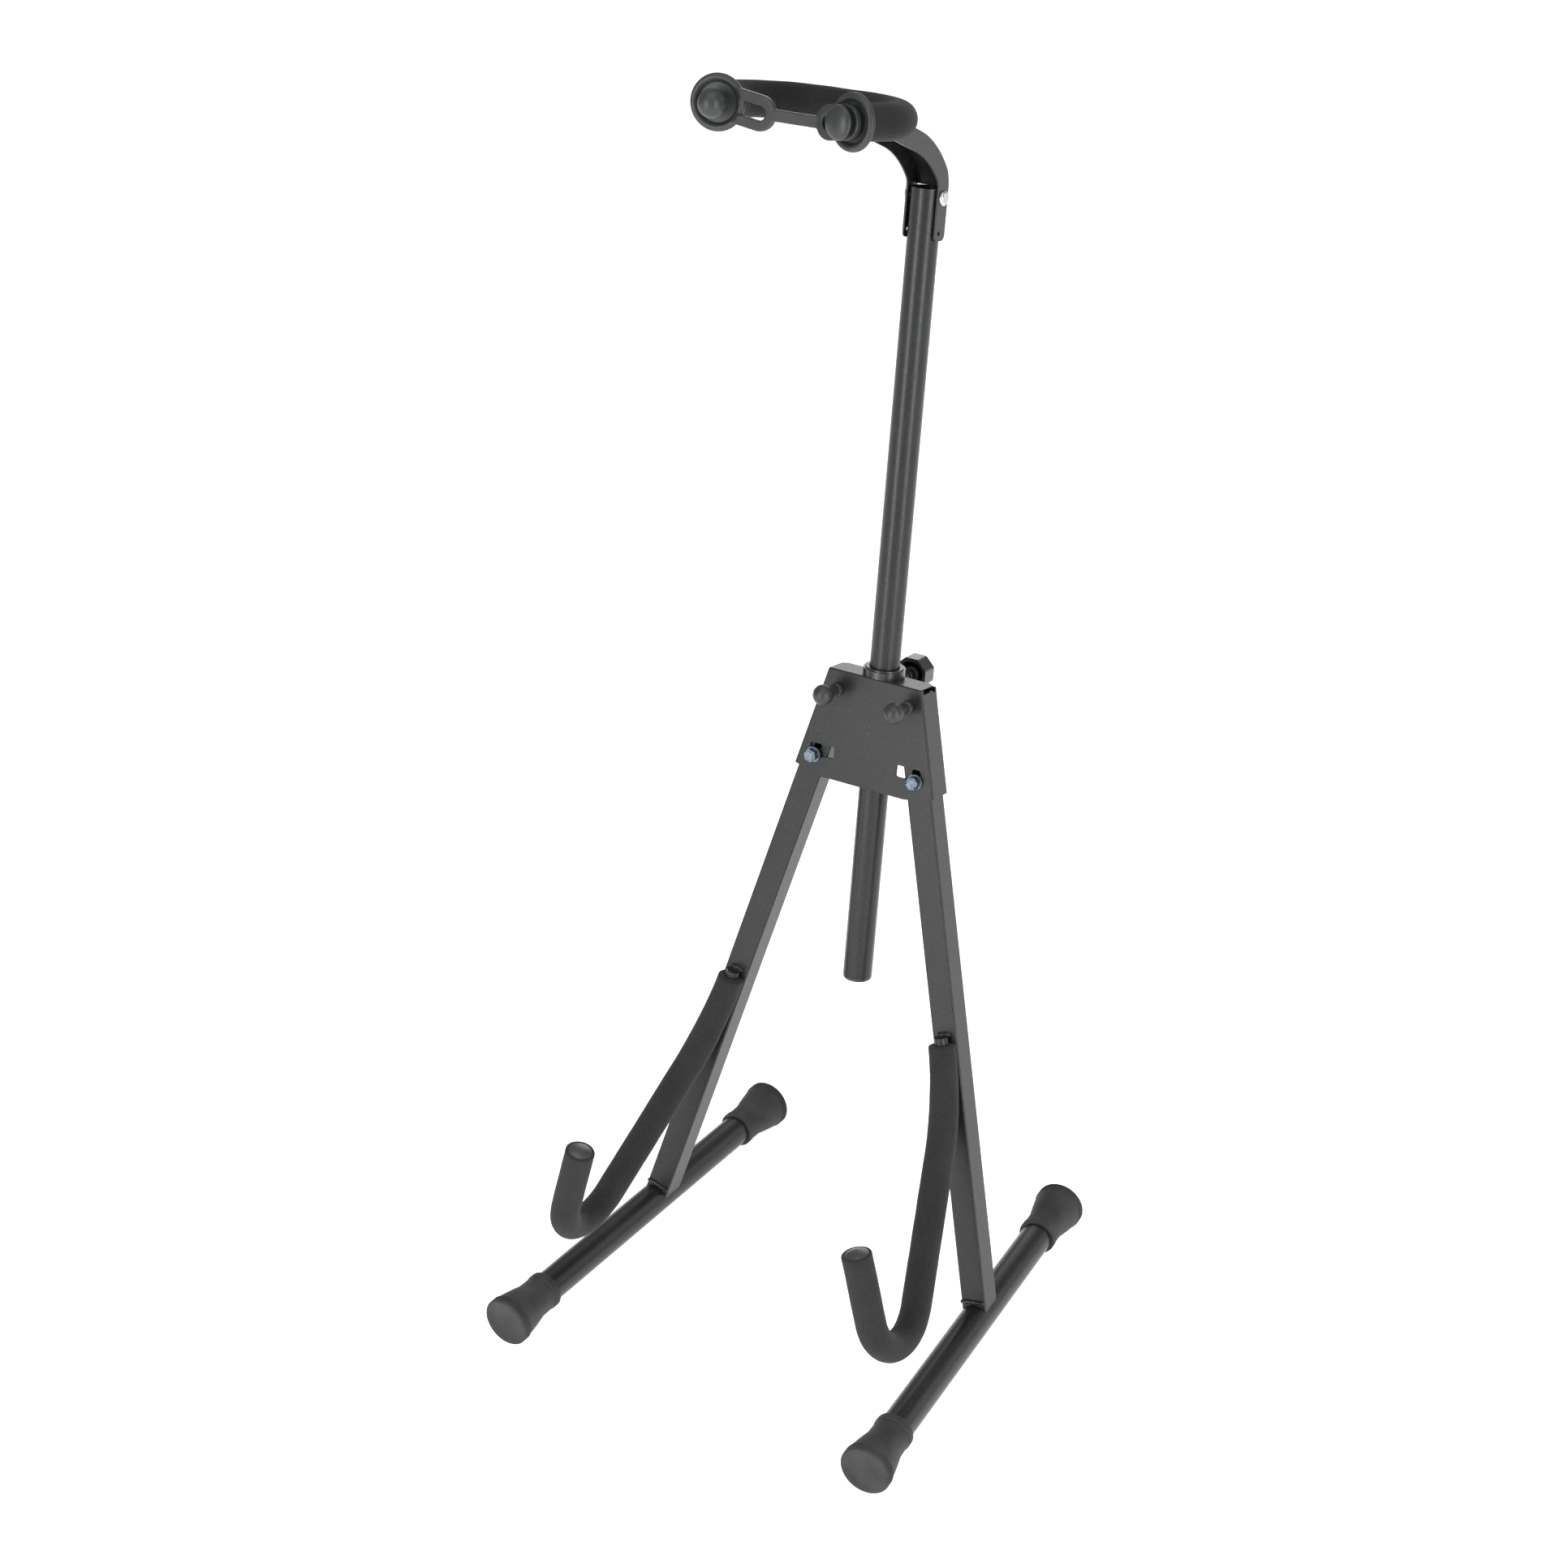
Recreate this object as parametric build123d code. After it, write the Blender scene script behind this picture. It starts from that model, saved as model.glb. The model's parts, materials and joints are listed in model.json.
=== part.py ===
from build123d import *
import math
import os

os.makedirs("parts", exist_ok=True)

# Folding guitar stand. Millimetres, +Z up, the front of the stand faces -Y.
# The origin is on the floor, under the middle of the four foot caps.

# ---- driving sizes -------------------------------------------------------

# overall set-up
leg_lean = 11.1          # backward lean of the leg plane, degrees
leg_splay = 14.3         # outward angle of each leg inside that plane, degrees
upright_lean = 7.8       # backward lean of the upright tube, degrees
pivot_u = 26.5           # half the distance between the two leg pivots
pivot_v = 430.0          # pivot height, measured along the leg plane

# tubes and sheet
leg_size = 18.0          # square leg tube, outside
leg_wall = 1.5
leg_corner = 1.2
upright_d = 20.0
upright_wall = 1.5
upright_above = 319.0    # upright above the housing, as drawn
upright_below = 218.0    # upright below the top of the housing, as drawn
foot_d = 22.2
foot_wall = 1.5
foot_toe = 3.0           # front ends of the feet point outward, degrees
foot_front = 178.0       # leg to front face of the front cap
foot_rear = 140.5        # leg to rear face of the rear cap
sheet = 1.5              # housing sheet

# rubber foot caps
cap_rim_r = 17.2
cap_axis_z = 16.6        # the rim is moulded with a small flat underneath
cap_len = 44.5
cap_wall = 1.8
cap_sleeve = 18.0
cap_rim = 6.0
cap_floor = 5.0

# housing
leg_gap = 0.4            # leg to front and rear sheet
side_gap = 1.0           # leg to side flange
housing_top = 443.5
housing_low = 367.6
low_corner_u = 32.0
rear_low = 398.0
hump_in = 15.9
hump_top = 440.0
guide_low = 368.0
guide_h = 6.0
guide_gap = 0.5
upright_n = 2.2          # upright axis behind the leg plane, at the housing top

# collar bush
collar_d = 28.0
collar_h = 6.5
collar_lip = 1.0
collar_gap = 0.3         # bush to upright
collar_spigot = 22.4
spigot_gap = 0.2
spigot_len = 5.0

# fasteners
stud_r = 3.0
run_gap = 0.06           # running fit, radial
nut_af = 10.0
nut_h = 5.0
lock_r = 2.5
lock_flange_r = 5.3
lock_flange_h = 1.3
lock_af = 8.0
lock_head = 5.9
lock_nut_h = 4.7
washer_r = 5.0
washer_h = 1.0
slide_gap = 0.2          # flat faces that slide past each other
lock_dist = 49.7         # leg pivot to lock bolt
lock_lift = 5.0
leg_fold = 11.4          # each leg folds inward by this much, degrees
slot_h = 8.0
slot_end_u = 23.8
slot_mid_v = 385.9
leg_slot_w = 6.0

# ball bumpers over the leg pivots
ball_r = 7.0
ball_n = 29.8
neck_r = 3.6
bumper_base_r = 4.5
bumper_base_h = 3.0

# cradle arms
arm_rod_r = 4.75
arm_foam_r = 10.1
arm_start = 224.0
arm_straight = 5.4
arm_bend_r = 140.0
arm_bend = 31.5
arm_slope = 97.0
arm_hook_r = 32.5
arm_hook = 140.0
arm_tip = 45.4
foam_start = 5.2         # bare rod above the foam
tip_plug_r = 8.0
tip_plug = 5.0
foot_bead_r = 1.5
arm_bead_r = 2.0

# yoke
yoke_fwd = 111.2         # upright axis to the back of the yoke
yoke_up = 55.8           # upright top to the yoke plane
yoke_tilt = 2.0
yoke_half = 12.9         # half the straight back of the yoke
yoke_bend_r = 37.8
yoke_toe = 15.0          # prongs lean toward each other, degrees
yoke_straight = 20.6
yoke_rod_r = 4.75
yoke_foam_r = 10.6
yoke_cap_r = 16.2
yoke_rim_r = 2.3
yoke_cap_floor = 1.2     # cap thickness inside its raised rim
yoke_ball_r = 8.2        # ball on the left prong
yoke_button_r = 9.5      # flattened button on the right prong
yoke_button_h = 7.6
yoke_ball_off = 12.5
yoke_neck_r = 4.5

# security strap
strap_t = 3.6
eye_gap = 0.8            # eye to the rim of the cap
eye_r = 9.8
eye_hole_r = 5.0
eye_reach = 12.4
eye_lap = 1.5
eye_turn = 7.5           # the eye hangs down a little, degrees
loop_root = 8.0          # middle of the cap to the start of the keyhole slot
loop_len = 20.0
loop_half = 10.0
rail_w = 5.9
bar_w = 6.6

# yoke bracket
ear_gap = 0.2
ear_t = 1.3
ear_deep = 12.8
ear_low = 32.0
web_back = 6.5
web_clear = 0.4          # web above the upright
neck_bend_r = 20.3
neck_bend = 42.0
neck_sweep_r = 85.5
neck_sweep = 30.6
neck_end = 83.0
pivot_drop = 5.5         # rivet below the top of the upright
rivet_r = 2.4
rivet_head_r = 4.8
rivet_head_h = 2.2

# clamp
clamp_down = 9.5         # clamp axis below the housing top, along the upright
clamp_boss_r = 7.0
clamp_boss = 10.0
clamp_r = 3.0
pad_r = 2.7
pad_gap = 0.3
pad_len = 4.7
knob_at = 38.0
knob_len = 14.0
knob_r = 12.3            # out to the corners
knob_sides = 8
knob_round = 2.5
knob_wall = 2.2
knob_floor = 4.0
knob_hub = 2.4           # hub wall round the screw
knob_edge = 1.2

# ---- places --------------------------------------------------------------

half_leg = leg_size / 2
inner_n = half_leg + leg_gap
front_n = inner_n + sheet
sin_lean = math.sin(math.radians(leg_lean))
cos_lean = math.cos(math.radians(leg_lean))
tan_splay = math.tan(math.radians(leg_splay))
cos_splay = math.cos(math.radians(leg_splay))
cos_toe = math.cos(math.radians(foot_toe))
foot_v = cap_axis_z / cos_lean
foot_u = pivot_u + (pivot_v - foot_v) * tan_splay
foot_y = (foot_front - foot_rear) / 2 * cos_toe
plate_y = foot_y - foot_v * sin_lean

# plate frame: x across, y toward the back, z up along the leg plane
plate = Location((0, plate_y, 0), (-leg_lean, 0, 0))
leg_place = plate * Location((pivot_u, 0, pivot_v), (0, -leg_splay, 0))
foot_place = Location((foot_u, foot_y, cap_axis_z), (0, 0, foot_toe))
upright_y = plate_y + housing_top * sin_lean + upright_n * cos_lean
upright_z = housing_top * cos_lean - upright_n * sin_lean
upright_place = Location((0, upright_y, upright_z), (-upright_lean, 0, 0))
in_plate = Location((0, upright_n, housing_top), (leg_lean - upright_lean, 0, 0))
yoke_place = upright_place * Location((0, -yoke_fwd, upright_above + yoke_up), (-yoke_tilt, 0, 0))


def save(shape, name):
    """Write one named solid."""
    shape.label = name
    export_step(shape, "parts/" + name + ".step")


def save_pair(shape, name):
    """Write a right-hand solid and its mirror image on the left."""
    save(shape, name + "_right")
    save(mirror(shape, about=Plane.YZ), name + "_left")


def rod_y(r, y0, y1, x=0.0, z=0.0):
    """Cylinder along Y from y0 to y1."""
    return Pos(x, (y0 + y1) / 2, z) * Rot(90, 0, 0) * Cylinder(r, abs(y1 - y0))


def rod_z(r, z0, z1, x=0.0, y=0.0):
    """Cylinder along Z from z0 to z1."""
    return Pos(x, y, (z0 + z1) / 2) * Cylinder(r, abs(z1 - z0))


def hex_y(af, y0, y1, x=0.0, z=0.0):
    """Hexagonal prism along Y from y0 to y1."""
    flat = RegularPolygon(af / 2, 6, major_radius=False)
    prism = extrude(flat, abs(y1 - y0))
    return Pos(x, max(y0, y1), z) * Rot(90, 0, 0) * prism


def slab(outline, y0, y1):
    """Extrude an outline given in (x, z) between two depths."""
    face = make_face(Polyline(*outline, close=True))
    return Pos(0, y1, 0) * Rot(90, 0, 0) * extrude(face, y1 - y0)


def tube_along(path, r):
    """Round bar of radius r along a path."""
    return sweep(Plane(path @ 0, z_dir=path % 0) * Circle(r), path=path)


def band(x0, z0, x1, z1, r, y0, y1):
    """Round-ended bar shape between two points, used to cut slots."""
    length = math.hypot(x1 - x0, z1 - z0)
    turn = math.degrees(math.atan2(z1 - z0, x1 - x0))
    face = SlotCenterToCenter(length, 2 * r)
    bar = extrude(face, y1 - y0)
    return Pos((x0 + x1) / 2, y1, (z0 + z1) / 2) * Rot(0, -turn, 0) * Rot(90, 0, 0) * bar


# ---- housing -------------------------------------------------------------

fold_off = (half_leg + side_gap + sheet) / cos_splay
inside_off = (half_leg + side_gap) / cos_splay


def leg_u(v):
    """Leg centre line across the stand at a height along the plate."""
    return pivot_u + (pivot_v - v) * tan_splay


top_u = leg_u(housing_top) + fold_off
low_run = pivot_u + (pivot_v - housing_low) * tan_splay + fold_off - low_corner_u
low_u = low_corner_u + low_run / (1 + tan_splay * tan_splay)
low_v = housing_low + (low_u - low_corner_u) * tan_splay

outline = [(-top_u, housing_top), (top_u, housing_top), (low_u, low_v)]
outline += [(low_corner_u, housing_low), (-low_corner_u, housing_low), (-low_u, low_v)]
shell = slab(outline, -front_n, inner_n)
shell = fillet(shell.edges().filter_by(Axis.Z, tolerance=leg_splay + 1).group_by(Axis.Y)[0], sheet)
shell = fillet(shell.edges().group_by(Axis.Z)[-1].group_by(Axis.Y)[0], 1.2)

room_top = housing_top - sheet
room_low = housing_low - 30
room = [(-leg_u(room_top) - inside_off, room_top), (leg_u(room_top) + inside_off, room_top)]
room += [(leg_u(room_low) + inside_off, room_low), (-leg_u(room_low) - inside_off, room_low)]
housing = shell - slab(room, -inner_n, inner_n + 1)

# corner reliefs between the top flap and the side flanges
for side in (-1, 1):
    relief = Pos(side * (top_u - 0.4), 0.6, housing_top - 1.8) * Box(5.0, 2 * inner_n - 1.2, 3.0)
    housing -= relief
    chamfer_cut = Pos(side * (top_u + 1.2), inner_n, housing_top) * Rot(0, 0, side * 45) * Box(7, 7, 8)
    housing -= chamfer_cut

# passage for the collar spigot
spigot_hole = in_plate * rod_z(collar_spigot / 2 + spigot_gap, -12, 12)
housing -= spigot_hole & (Pos(0, 0, housing_top) * Box(60, 2 * inner_n, 30))

# stud holes
for side in (-1, 1):
    housing -= rod_y(stud_r, -front_n - 1, -inner_n + 1, side * pivot_u, pivot_v)

# bolt rest and bolt end, seen in the plate
rest_u = pivot_u + lock_dist * math.sin(math.radians(leg_splay))
rest_v = pivot_v - lock_dist * math.cos(math.radians(leg_splay))
end_turn = math.radians(leg_splay - leg_fold)
end_u = pivot_u + (lock_dist - lock_lift) * math.sin(end_turn)
end_v = pivot_v - (lock_dist - lock_lift) * math.cos(end_turn)
slot_out_u = rest_u + lock_r + 0.8
slot_in_v = slot_mid_v - slot_h / 2
slot_deep = rest_v - lock_r - 0.4

for side in (-1, 1):
    wide = slot_out_u - slot_end_u
    long_part = Pos((slot_out_u + slot_end_u) / 2, -front_n + sheet / 2, slot_mid_v)
    long_cut = long_part * extrude(Plane.XZ * RectangleRounded(wide, slot_h, 1.2), sheet, both=True)
    drop_w = 2 * lock_r + 1.6
    drop_h = slot_mid_v - slot_deep
    drop_at = Pos(rest_u, -front_n + sheet / 2, slot_deep + drop_h / 2)
    drop_cut = drop_at * extrude(Plane.XZ * RectangleRounded(drop_w, drop_h, 1.2), sheet, both=True)
    run_cut = band(rest_u, rest_v, end_u, end_v, lock_r + 0.4, -front_n - 1, -inner_n + 1)
    cut = long_cut + drop_cut + run_cut
    if side < 0:
        cut = mirror(cut, about=Plane.YZ)
    housing -= cut

save(plate * housing, "front_housing")

# rear plate with a pressed channel behind the upright
side_in = leg_u(rear_low) + inside_off
wing = [(-side_in, rear_low), (side_in, rear_low), (leg_u(room_top) + inside_off + 1.0, room_top)]
wing += [(-leg_u(room_top) - inside_off - 1.0, room_top)]
rear = slab(wing, inner_n, inner_n + sheet)
channel_w = 12.5
hump_outer = [(-channel_w - 3 - sheet, inner_n), (-channel_w - sheet, hump_in + sheet)]
hump_outer += [(channel_w + sheet, hump_in + sheet), (channel_w + 3 + sheet, inner_n)]
hump_inner = [(-channel_w - 3, inner_n - 1), (-channel_w - 3, inner_n), (-channel_w, hump_in)]
hump_inner += [(channel_w, hump_in), (channel_w + 3, inner_n), (channel_w + 3, inner_n - 1)]
hump_h = hump_top - rear_low
hump_solid = Pos(0, 0, rear_low) * extrude(make_face(Polyline(*hump_outer, close=True)), hump_h)
hump_room = Pos(0, 0, rear_low - 1) * extrude(make_face(Polyline(*hump_inner, close=True)), hump_h + 20)
rear = rear + hump_solid - hump_room
clamp_axis = in_plate * Location((0, 0, -clamp_down))
boss_hole = clamp_axis * rod_y(clamp_boss_r, 5, 40)
rear -= boss_hole
for side in (-1, 1):
    rear -= rod_y(stud_r, inner_n - 1, inner_n + sheet + 1, side * pivot_u, pivot_v)
save(plate * rear, "rear_plate")

# lower guide: a band behind the front sheet that steadies the upright
guide_v = guide_low + guide_h / 2
lean_gap = math.tan(math.radians(leg_lean - upright_lean))
guide_back = upright_n + (housing_top - guide_v) * lean_gap
guide_r = upright_d / 2 + guide_gap
strap_out = rod_z(guide_r + sheet, guide_low, guide_low + guide_h, 0, guide_back)
arm_len = guide_back + inner_n
strap_out += Pos(0, guide_back - arm_len / 2, guide_v) * Box(2 * (guide_r + sheet), arm_len, guide_h)
strap_in = rod_z(guide_r, guide_low - 1, guide_low + guide_h + 1, 0, guide_back)
strap_in += Pos(0, guide_back - arm_len / 2, guide_v) * Box(2 * guide_r, arm_len + 2, guide_h + 2)
save(plate * (strap_out - strap_in), "lower_guide")

# collar bush
bush = rod_z(collar_d / 2, -2, collar_h - collar_lip)
bush += rod_z(collar_d / 2 - 1.2, collar_h - collar_lip, collar_h)
bush = fillet(bush.edges().group_by(Axis.Z)[-2:], 0.4)
flap_top = in_plate.inverse() * (Pos(0, 0, housing_top - 10) * Box(80, 80, 20))
bush -= flap_top
spigot = rod_z(collar_spigot / 2, -spigot_len, 1.5)
bush += spigot
bush -= rod_z(upright_d / 2 + collar_gap, -20, 20)
save(upright_place * bush, "collar_bush")

# clamp boss, welded in the rear plate
back_face = hump_in - upright_n - clamp_down * lean_gap
boss = rod_y(clamp_boss_r, back_face, back_face + clamp_boss)
boss = chamfer(boss.edges().group_by(Axis.Y)[-1], 1.0)
boss -= rod_y(clamp_r + run_gap, 0, 60)
save(upright_place * Pos(0, 0, -clamp_down) * boss, "clamp_boss")

# ---- clamp screw, pad and knob -------------------------------------------

pad_at = upright_d / 2 + pad_gap
pad = rod_y(pad_r, pad_at, pad_at + pad_len)
save(upright_place * Pos(0, 0, -clamp_down) * pad, "clamp_pad")

screw_at = pad_at + pad_len
screw = rod_y(clamp_r, screw_at, knob_at + knob_len - knob_wall)
save(upright_place * Pos(0, 0, -clamp_down) * screw, "clamp_screw")

knob_outline = fillet(RegularPolygon(knob_r, knob_sides).vertices(), knob_round)
knob = extrude(knob_outline, knob_len)
knob = chamfer(knob.edges().group_by(Axis.Z)[-1], knob_edge)
knob = Pos(0, knob_at, 0) * Rot(-90, 0, 0) * Rot(0, 0, 180 / knob_sides) * knob
knob_flat_r = knob_r * math.cos(math.pi / knob_sides)
hollow = rod_y(knob_flat_r - knob_wall, knob_at - 1, knob_at + knob_len - knob_floor)
hollow -= rod_y(clamp_r + knob_hub, knob_at - 1, knob_at + knob_len)
knob -= hollow
knob -= rod_y(clamp_r, knob_at - 1, knob_at + knob_len - knob_wall)
save(upright_place * Pos(0, 0, -clamp_down) * knob, "clamp_knob")

# ---- leg pivots and bumpers ----------------------------------------------

stud_back = inner_n + sheet + nut_h + 1.5
stud = rod_y(stud_r, -front_n - 10, stud_back, pivot_u, pivot_v)
save_pair(plate * stud, "pivot_stud")
pivot_nut = hex_y(nut_af, inner_n + sheet, inner_n + sheet + nut_h, pivot_u, pivot_v)
pivot_nut -= rod_y(stud_r, 0, 40, pivot_u, pivot_v)
save_pair(plate * pivot_nut, "pivot_nut")

bumper = Pos(pivot_u, -ball_n, pivot_v) * Sphere(ball_r)
bumper += rod_y(neck_r, -ball_n, -front_n, pivot_u, pivot_v)
flare = rod_y(bumper_base_r, -front_n - bumper_base_h, -front_n, pivot_u, pivot_v)
bumper += chamfer(flare.edges().group_by(Axis.Y)[0], 0.8)
bumper -= rod_y(stud_r, -front_n - 10, 0, pivot_u, pivot_v)
save_pair(plate * bumper, "ball_bumper")

# ---- leg -----------------------------------------------------------------

foot_s = (pivot_v - foot_v) / cos_splay
leg_outer = Pos(0, 0, -foot_s / 2) * Box(leg_size, leg_size, foot_s)
leg_outer = fillet(leg_outer.edges().filter_by(Axis.Z), leg_corner)
leg_outer += rod_y(half_leg, -half_leg, half_leg)
inside = leg_size - 2 * leg_wall
leg_inner = Pos(0, 0, -foot_s / 2 - 1) * Box(inside, inside, foot_s + 2)
leg_inner += rod_y(half_leg - leg_wall, -inside / 2, inside / 2)
leg = leg_outer - leg_inner
leg -= rod_y(stud_r + run_gap, -20, 20)
lock_top = lock_dist - lock_lift - 0.6
leg -= band(0, -lock_dist - 0.4, 0, -lock_top, leg_slot_w / 2, -20, 20)
leg_world = leg_place * leg - foot_place * rod_y(foot_d / 2, -80, 80)
leg_world = leg_world.solids().sort_by(SortBy.VOLUME)[-1]
save_pair(leg_world, "leg_tube")

# foot tube
foot_tube = rod_y(foot_d / 2, -foot_front + cap_floor, foot_rear - cap_floor)
foot_tube -= rod_y(foot_d / 2 - foot_wall, -foot_front, foot_rear)
save_pair(foot_place * foot_tube, "foot_tube")


def foot_cap(grooves=3):
    """Bell-shaped rubber cap; its flat face is at y = 0 and it opens toward +y."""
    sleeve_r = foot_d / 2 + cap_wall
    profile = [(0, 0), (cap_rim_r - 0.6, 0), (cap_rim_r, 0.6), (cap_rim_r, cap_rim)]
    flare_len = cap_len - cap_sleeve - cap_rim
    flare_h = cap_rim_r - sleeve_r
    profile += [(cap_rim_r - 0.17 * flare_h, cap_rim + flare_len * 0.22)]
    profile += [(sleeve_r + 0.52 * flare_h, cap_rim + flare_len * 0.58)]
    profile += [(sleeve_r + 0.18 * flare_h, cap_rim + flare_len * 0.86)]
    profile += [(sleeve_r + 0.05 * flare_h, cap_rim + flare_len)]
    profile += [(sleeve_r, cap_len - 0.6), (sleeve_r - 0.6, cap_len), (0, cap_len)]
    face = make_face(Polyline(*profile, close=True))
    solid = revolve(face, axis=Axis.Y)
    solid -= rod_y(foot_d / 2, cap_floor, cap_len + 1)
    for k in range(grooves):
        at = 1.6 + 1.5 * k
        ring = rod_y(cap_rim_r + 1, at, at + 0.6) - rod_y(cap_rim_r - 0.5, at - 1, at + 2)
        solid -= ring
    return solid


floor_cut = Pos(0, 0, -10) * Box(900, 900, 20)
front_cap = foot_place * Pos(0, -foot_front, 0) * foot_cap() - floor_cut
rear_cap = foot_place * Pos(0, foot_rear, 0) * Rot(0, 0, 180) * foot_cap() - floor_cut
save_pair(front_cap, "foot_cap_front")
save_pair(rear_cap, "foot_cap_rear")

# ---- lock bolt -----------------------------------------------------------

head_y = -front_n - slide_gap
bolt_back = half_leg + slide_gap + washer_h + lock_nut_h + 1.5
bolt = rod_y(lock_r, head_y - 1, bolt_back)
bolt += rod_y(lock_flange_r, head_y - lock_flange_h, head_y)
head = hex_y(lock_af, head_y - lock_head, head_y - lock_flange_h + 0.1)
head &= rod_y(lock_af / 2 * 1.12, head_y - lock_head, head_y)
bolt += head
bolt += rod_y(lock_af / 2 - 0.9, head_y - lock_head - 0.5, head_y - lock_head)
at_bolt = leg_place * Pos(0, 0, -lock_dist)
save_pair(at_bolt * bolt, "lock_bolt")
washer_y = half_leg + slide_gap
washer = rod_y(washer_r, washer_y, washer_y + washer_h) - rod_y(lock_r, 0, 30)
save_pair(at_bolt * washer, "lock_washer")
lock_nut = hex_y(lock_af, washer_y + washer_h, washer_y + washer_h + lock_nut_h)
lock_nut -= rod_y(lock_r, 0, 30)
save_pair(at_bolt * lock_nut, "lock_nut")

# ---- cradle arm ----------------------------------------------------------

arm_y = -half_leg - arm_rod_r


def arm_path(extra=0.0):
    """Centre line of the arm in the leg's own front-to-back plane."""
    first = Line((arm_y, -arm_start), (arm_y, -arm_start - arm_straight))
    lower = JernArc(first @ 1, first % 1, arm_bend_r, -arm_bend)
    slope = Line(lower @ 1, lower @ 1 + (lower % 1) * arm_slope)
    hook = JernArc(slope @ 1, slope % 1, arm_hook_r, -arm_hook)
    rise = Line(hook @ 1, hook @ 1 + (hook % 1) * (arm_tip + extra))
    side_plane = Plane(origin=(0, 0, 0), x_dir=(0, 1, 0), z_dir=(1, 0, 0))
    return side_plane * Wire([first, lower, slope, hook, rise])


arm_line = arm_path()
arm_rod = tube_along(arm_line, arm_rod_r)
save_pair(leg_place * arm_rod, "cradle_rod")

foam_line = arm_path(tip_plug)
foam = tube_along(foam_line, arm_foam_r)
foam -= tube_along(foam_line, arm_rod_r)
foam -= Pos(0, -half_leg, -arm_start) * Box(60, 60, 2 * foam_start)
tip_end = foam_line @ 1
tip_dir = foam_line % 1
plug_plane = Plane(tip_end - tip_dir * tip_plug, z_dir=tip_dir)
plug_seat = extrude(plug_plane * Circle(tip_plug_r), tip_plug + 1)
foam -= plug_seat
foam -= Pos(0, 0, -arm_start) * Box(2 * leg_size, leg_size, leg_size * 12)
foam = foam.solids().sort_by(SortBy.VOLUME)[-1]
save_pair(leg_place * foam, "cradle_foam")

plug = extrude(plug_plane * Circle(tip_plug_r), tip_plug)
dome = Pos(*(tip_end - tip_dir * 14.2)) * Sphere(16.3)
dome_zone = extrude(Plane(tip_end, z_dir=tip_dir) * Circle(tip_plug_r), 4)
plug += dome & dome_zone
save_pair(leg_place * plug, "cradle_tip")

# weld beads: leg to foot tube, arm to leg
bead_v = foot_s - foot_d / 2 / cos_splay - 0.5
bead = Pos(0, -half_leg, -bead_v) * Rot(0, 90, 0) * Cylinder(foot_bead_r, leg_size * 0.8)
bead_arm = Pos(0, -half_leg, -arm_start + 0.3) * Rot(0, 90, 0) * Cylinder(arm_bead_r, 1.6 * arm_rod_r)
bead_arm -= Pos(0, 0, -arm_start) * Box(2 * leg_size, leg_size, 2 * leg_size)
bead_arm -= Pos(0, 0, -arm_start - leg_size / 2) * Box(2 * leg_size, 4 * leg_size, leg_size)
bead = leg_place * bead - leg_place * (Pos(0, 0, -foot_s / 2) * Box(leg_size, leg_size, foot_s * 1.2))
bead -= foot_place * rod_y(foot_d / 2, -80, 80)
save_pair(bead, "foot_weld")
save_pair(leg_place * bead_arm, "arm_weld")

# ---- upright -------------------------------------------------------------

pivot_z = upright_above - pivot_drop
tube = rod_z(upright_d / 2, -upright_below, upright_above)
tube -= rod_z(upright_d / 2 - upright_wall, -upright_below - 1, upright_above + 1)
rivet_hole = Pos(0, 0, pivot_z) * Rot(0, 90, 0) * Cylinder(rivet_r + run_gap, 60)
tube -= rivet_hole
save(upright_place * tube, "upright_tube")

plug_in = upright_d / 2 - upright_wall
end_plug = rod_z(plug_in, -upright_below, -upright_below + 14)
end_plug -= rod_z(plug_in - 1.6, -upright_below + 2, -upright_below + 15)
end_plug += rod_z(upright_d / 2, -upright_below - 2.4, -upright_below)
end_plug = fillet(end_plug.edges().group_by(Axis.Z)[0], 1.6)
save(upright_place * end_plug, "upright_plug")

# ---- yoke bracket --------------------------------------------------------

ear_in = upright_d / 2 + ear_gap
ear_out = ear_in + ear_t


def neck_edge(off):
    """Gooseneck edge in (forward, up), set in from the back by off."""
    start = (-web_back + off, web_clear)
    first = JernArc(start, (0, 1), neck_bend_r - off, -neck_bend)
    sweep_arc = JernArc(first @ 1, first % 1, neck_sweep_r - off, -neck_sweep)
    last = Line(sweep_arc @ 1, sweep_arc @ 1 + (sweep_arc % 1) * neck_end)
    return [first, sweep_arc, last]


def neck_face(off_a, off_b):
    """Area between two gooseneck edges."""
    a = neck_edge(off_a)
    b = neck_edge(off_b)
    start = Line(a[0] @ 0, b[0] @ 0)
    stop = Line(a[-1] @ 1, b[-1] @ 1)
    return make_face(a + [stop] + b + [start])


ear_front = ear_deep - web_back
ear_pts = [(-web_back, web_clear), (-web_back, -ear_low), (ear_front, -ear_low), (ear_front, web_clear)]
lower_ear = make_face(Polyline(*ear_pts, close=True))
lower_ear = fillet(lower_ear.vertices().group_by(Axis.Y)[0], 3.5)
ear_face = lower_ear + neck_face(0, ear_deep)
web_face = neck_face(0, ear_t)


def side_cut(face, x0, x1):
    """Extrude a (forward, up) area across the stand."""
    plane = Plane(origin=(x0, 0, upright_above), x_dir=(0, -1, 0), z_dir=(-1, 0, 0))
    return extrude(plane * face, x0 - x1)


bracket = side_cut(web_face, ear_out, -ear_out)
bracket += side_cut(ear_face, ear_out, ear_in)
bracket += side_cut(ear_face, -ear_in, -ear_out)
bracket -= Pos(0, 0, pivot_z) * Rot(0, 90, 0) * Cylinder(rivet_r, 60)
dimple = Pos(0, -1.6, upright_above - 27) * Rot(0, 90, 0) * Cylinder(1.5, 60)
bracket -= dimple

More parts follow.
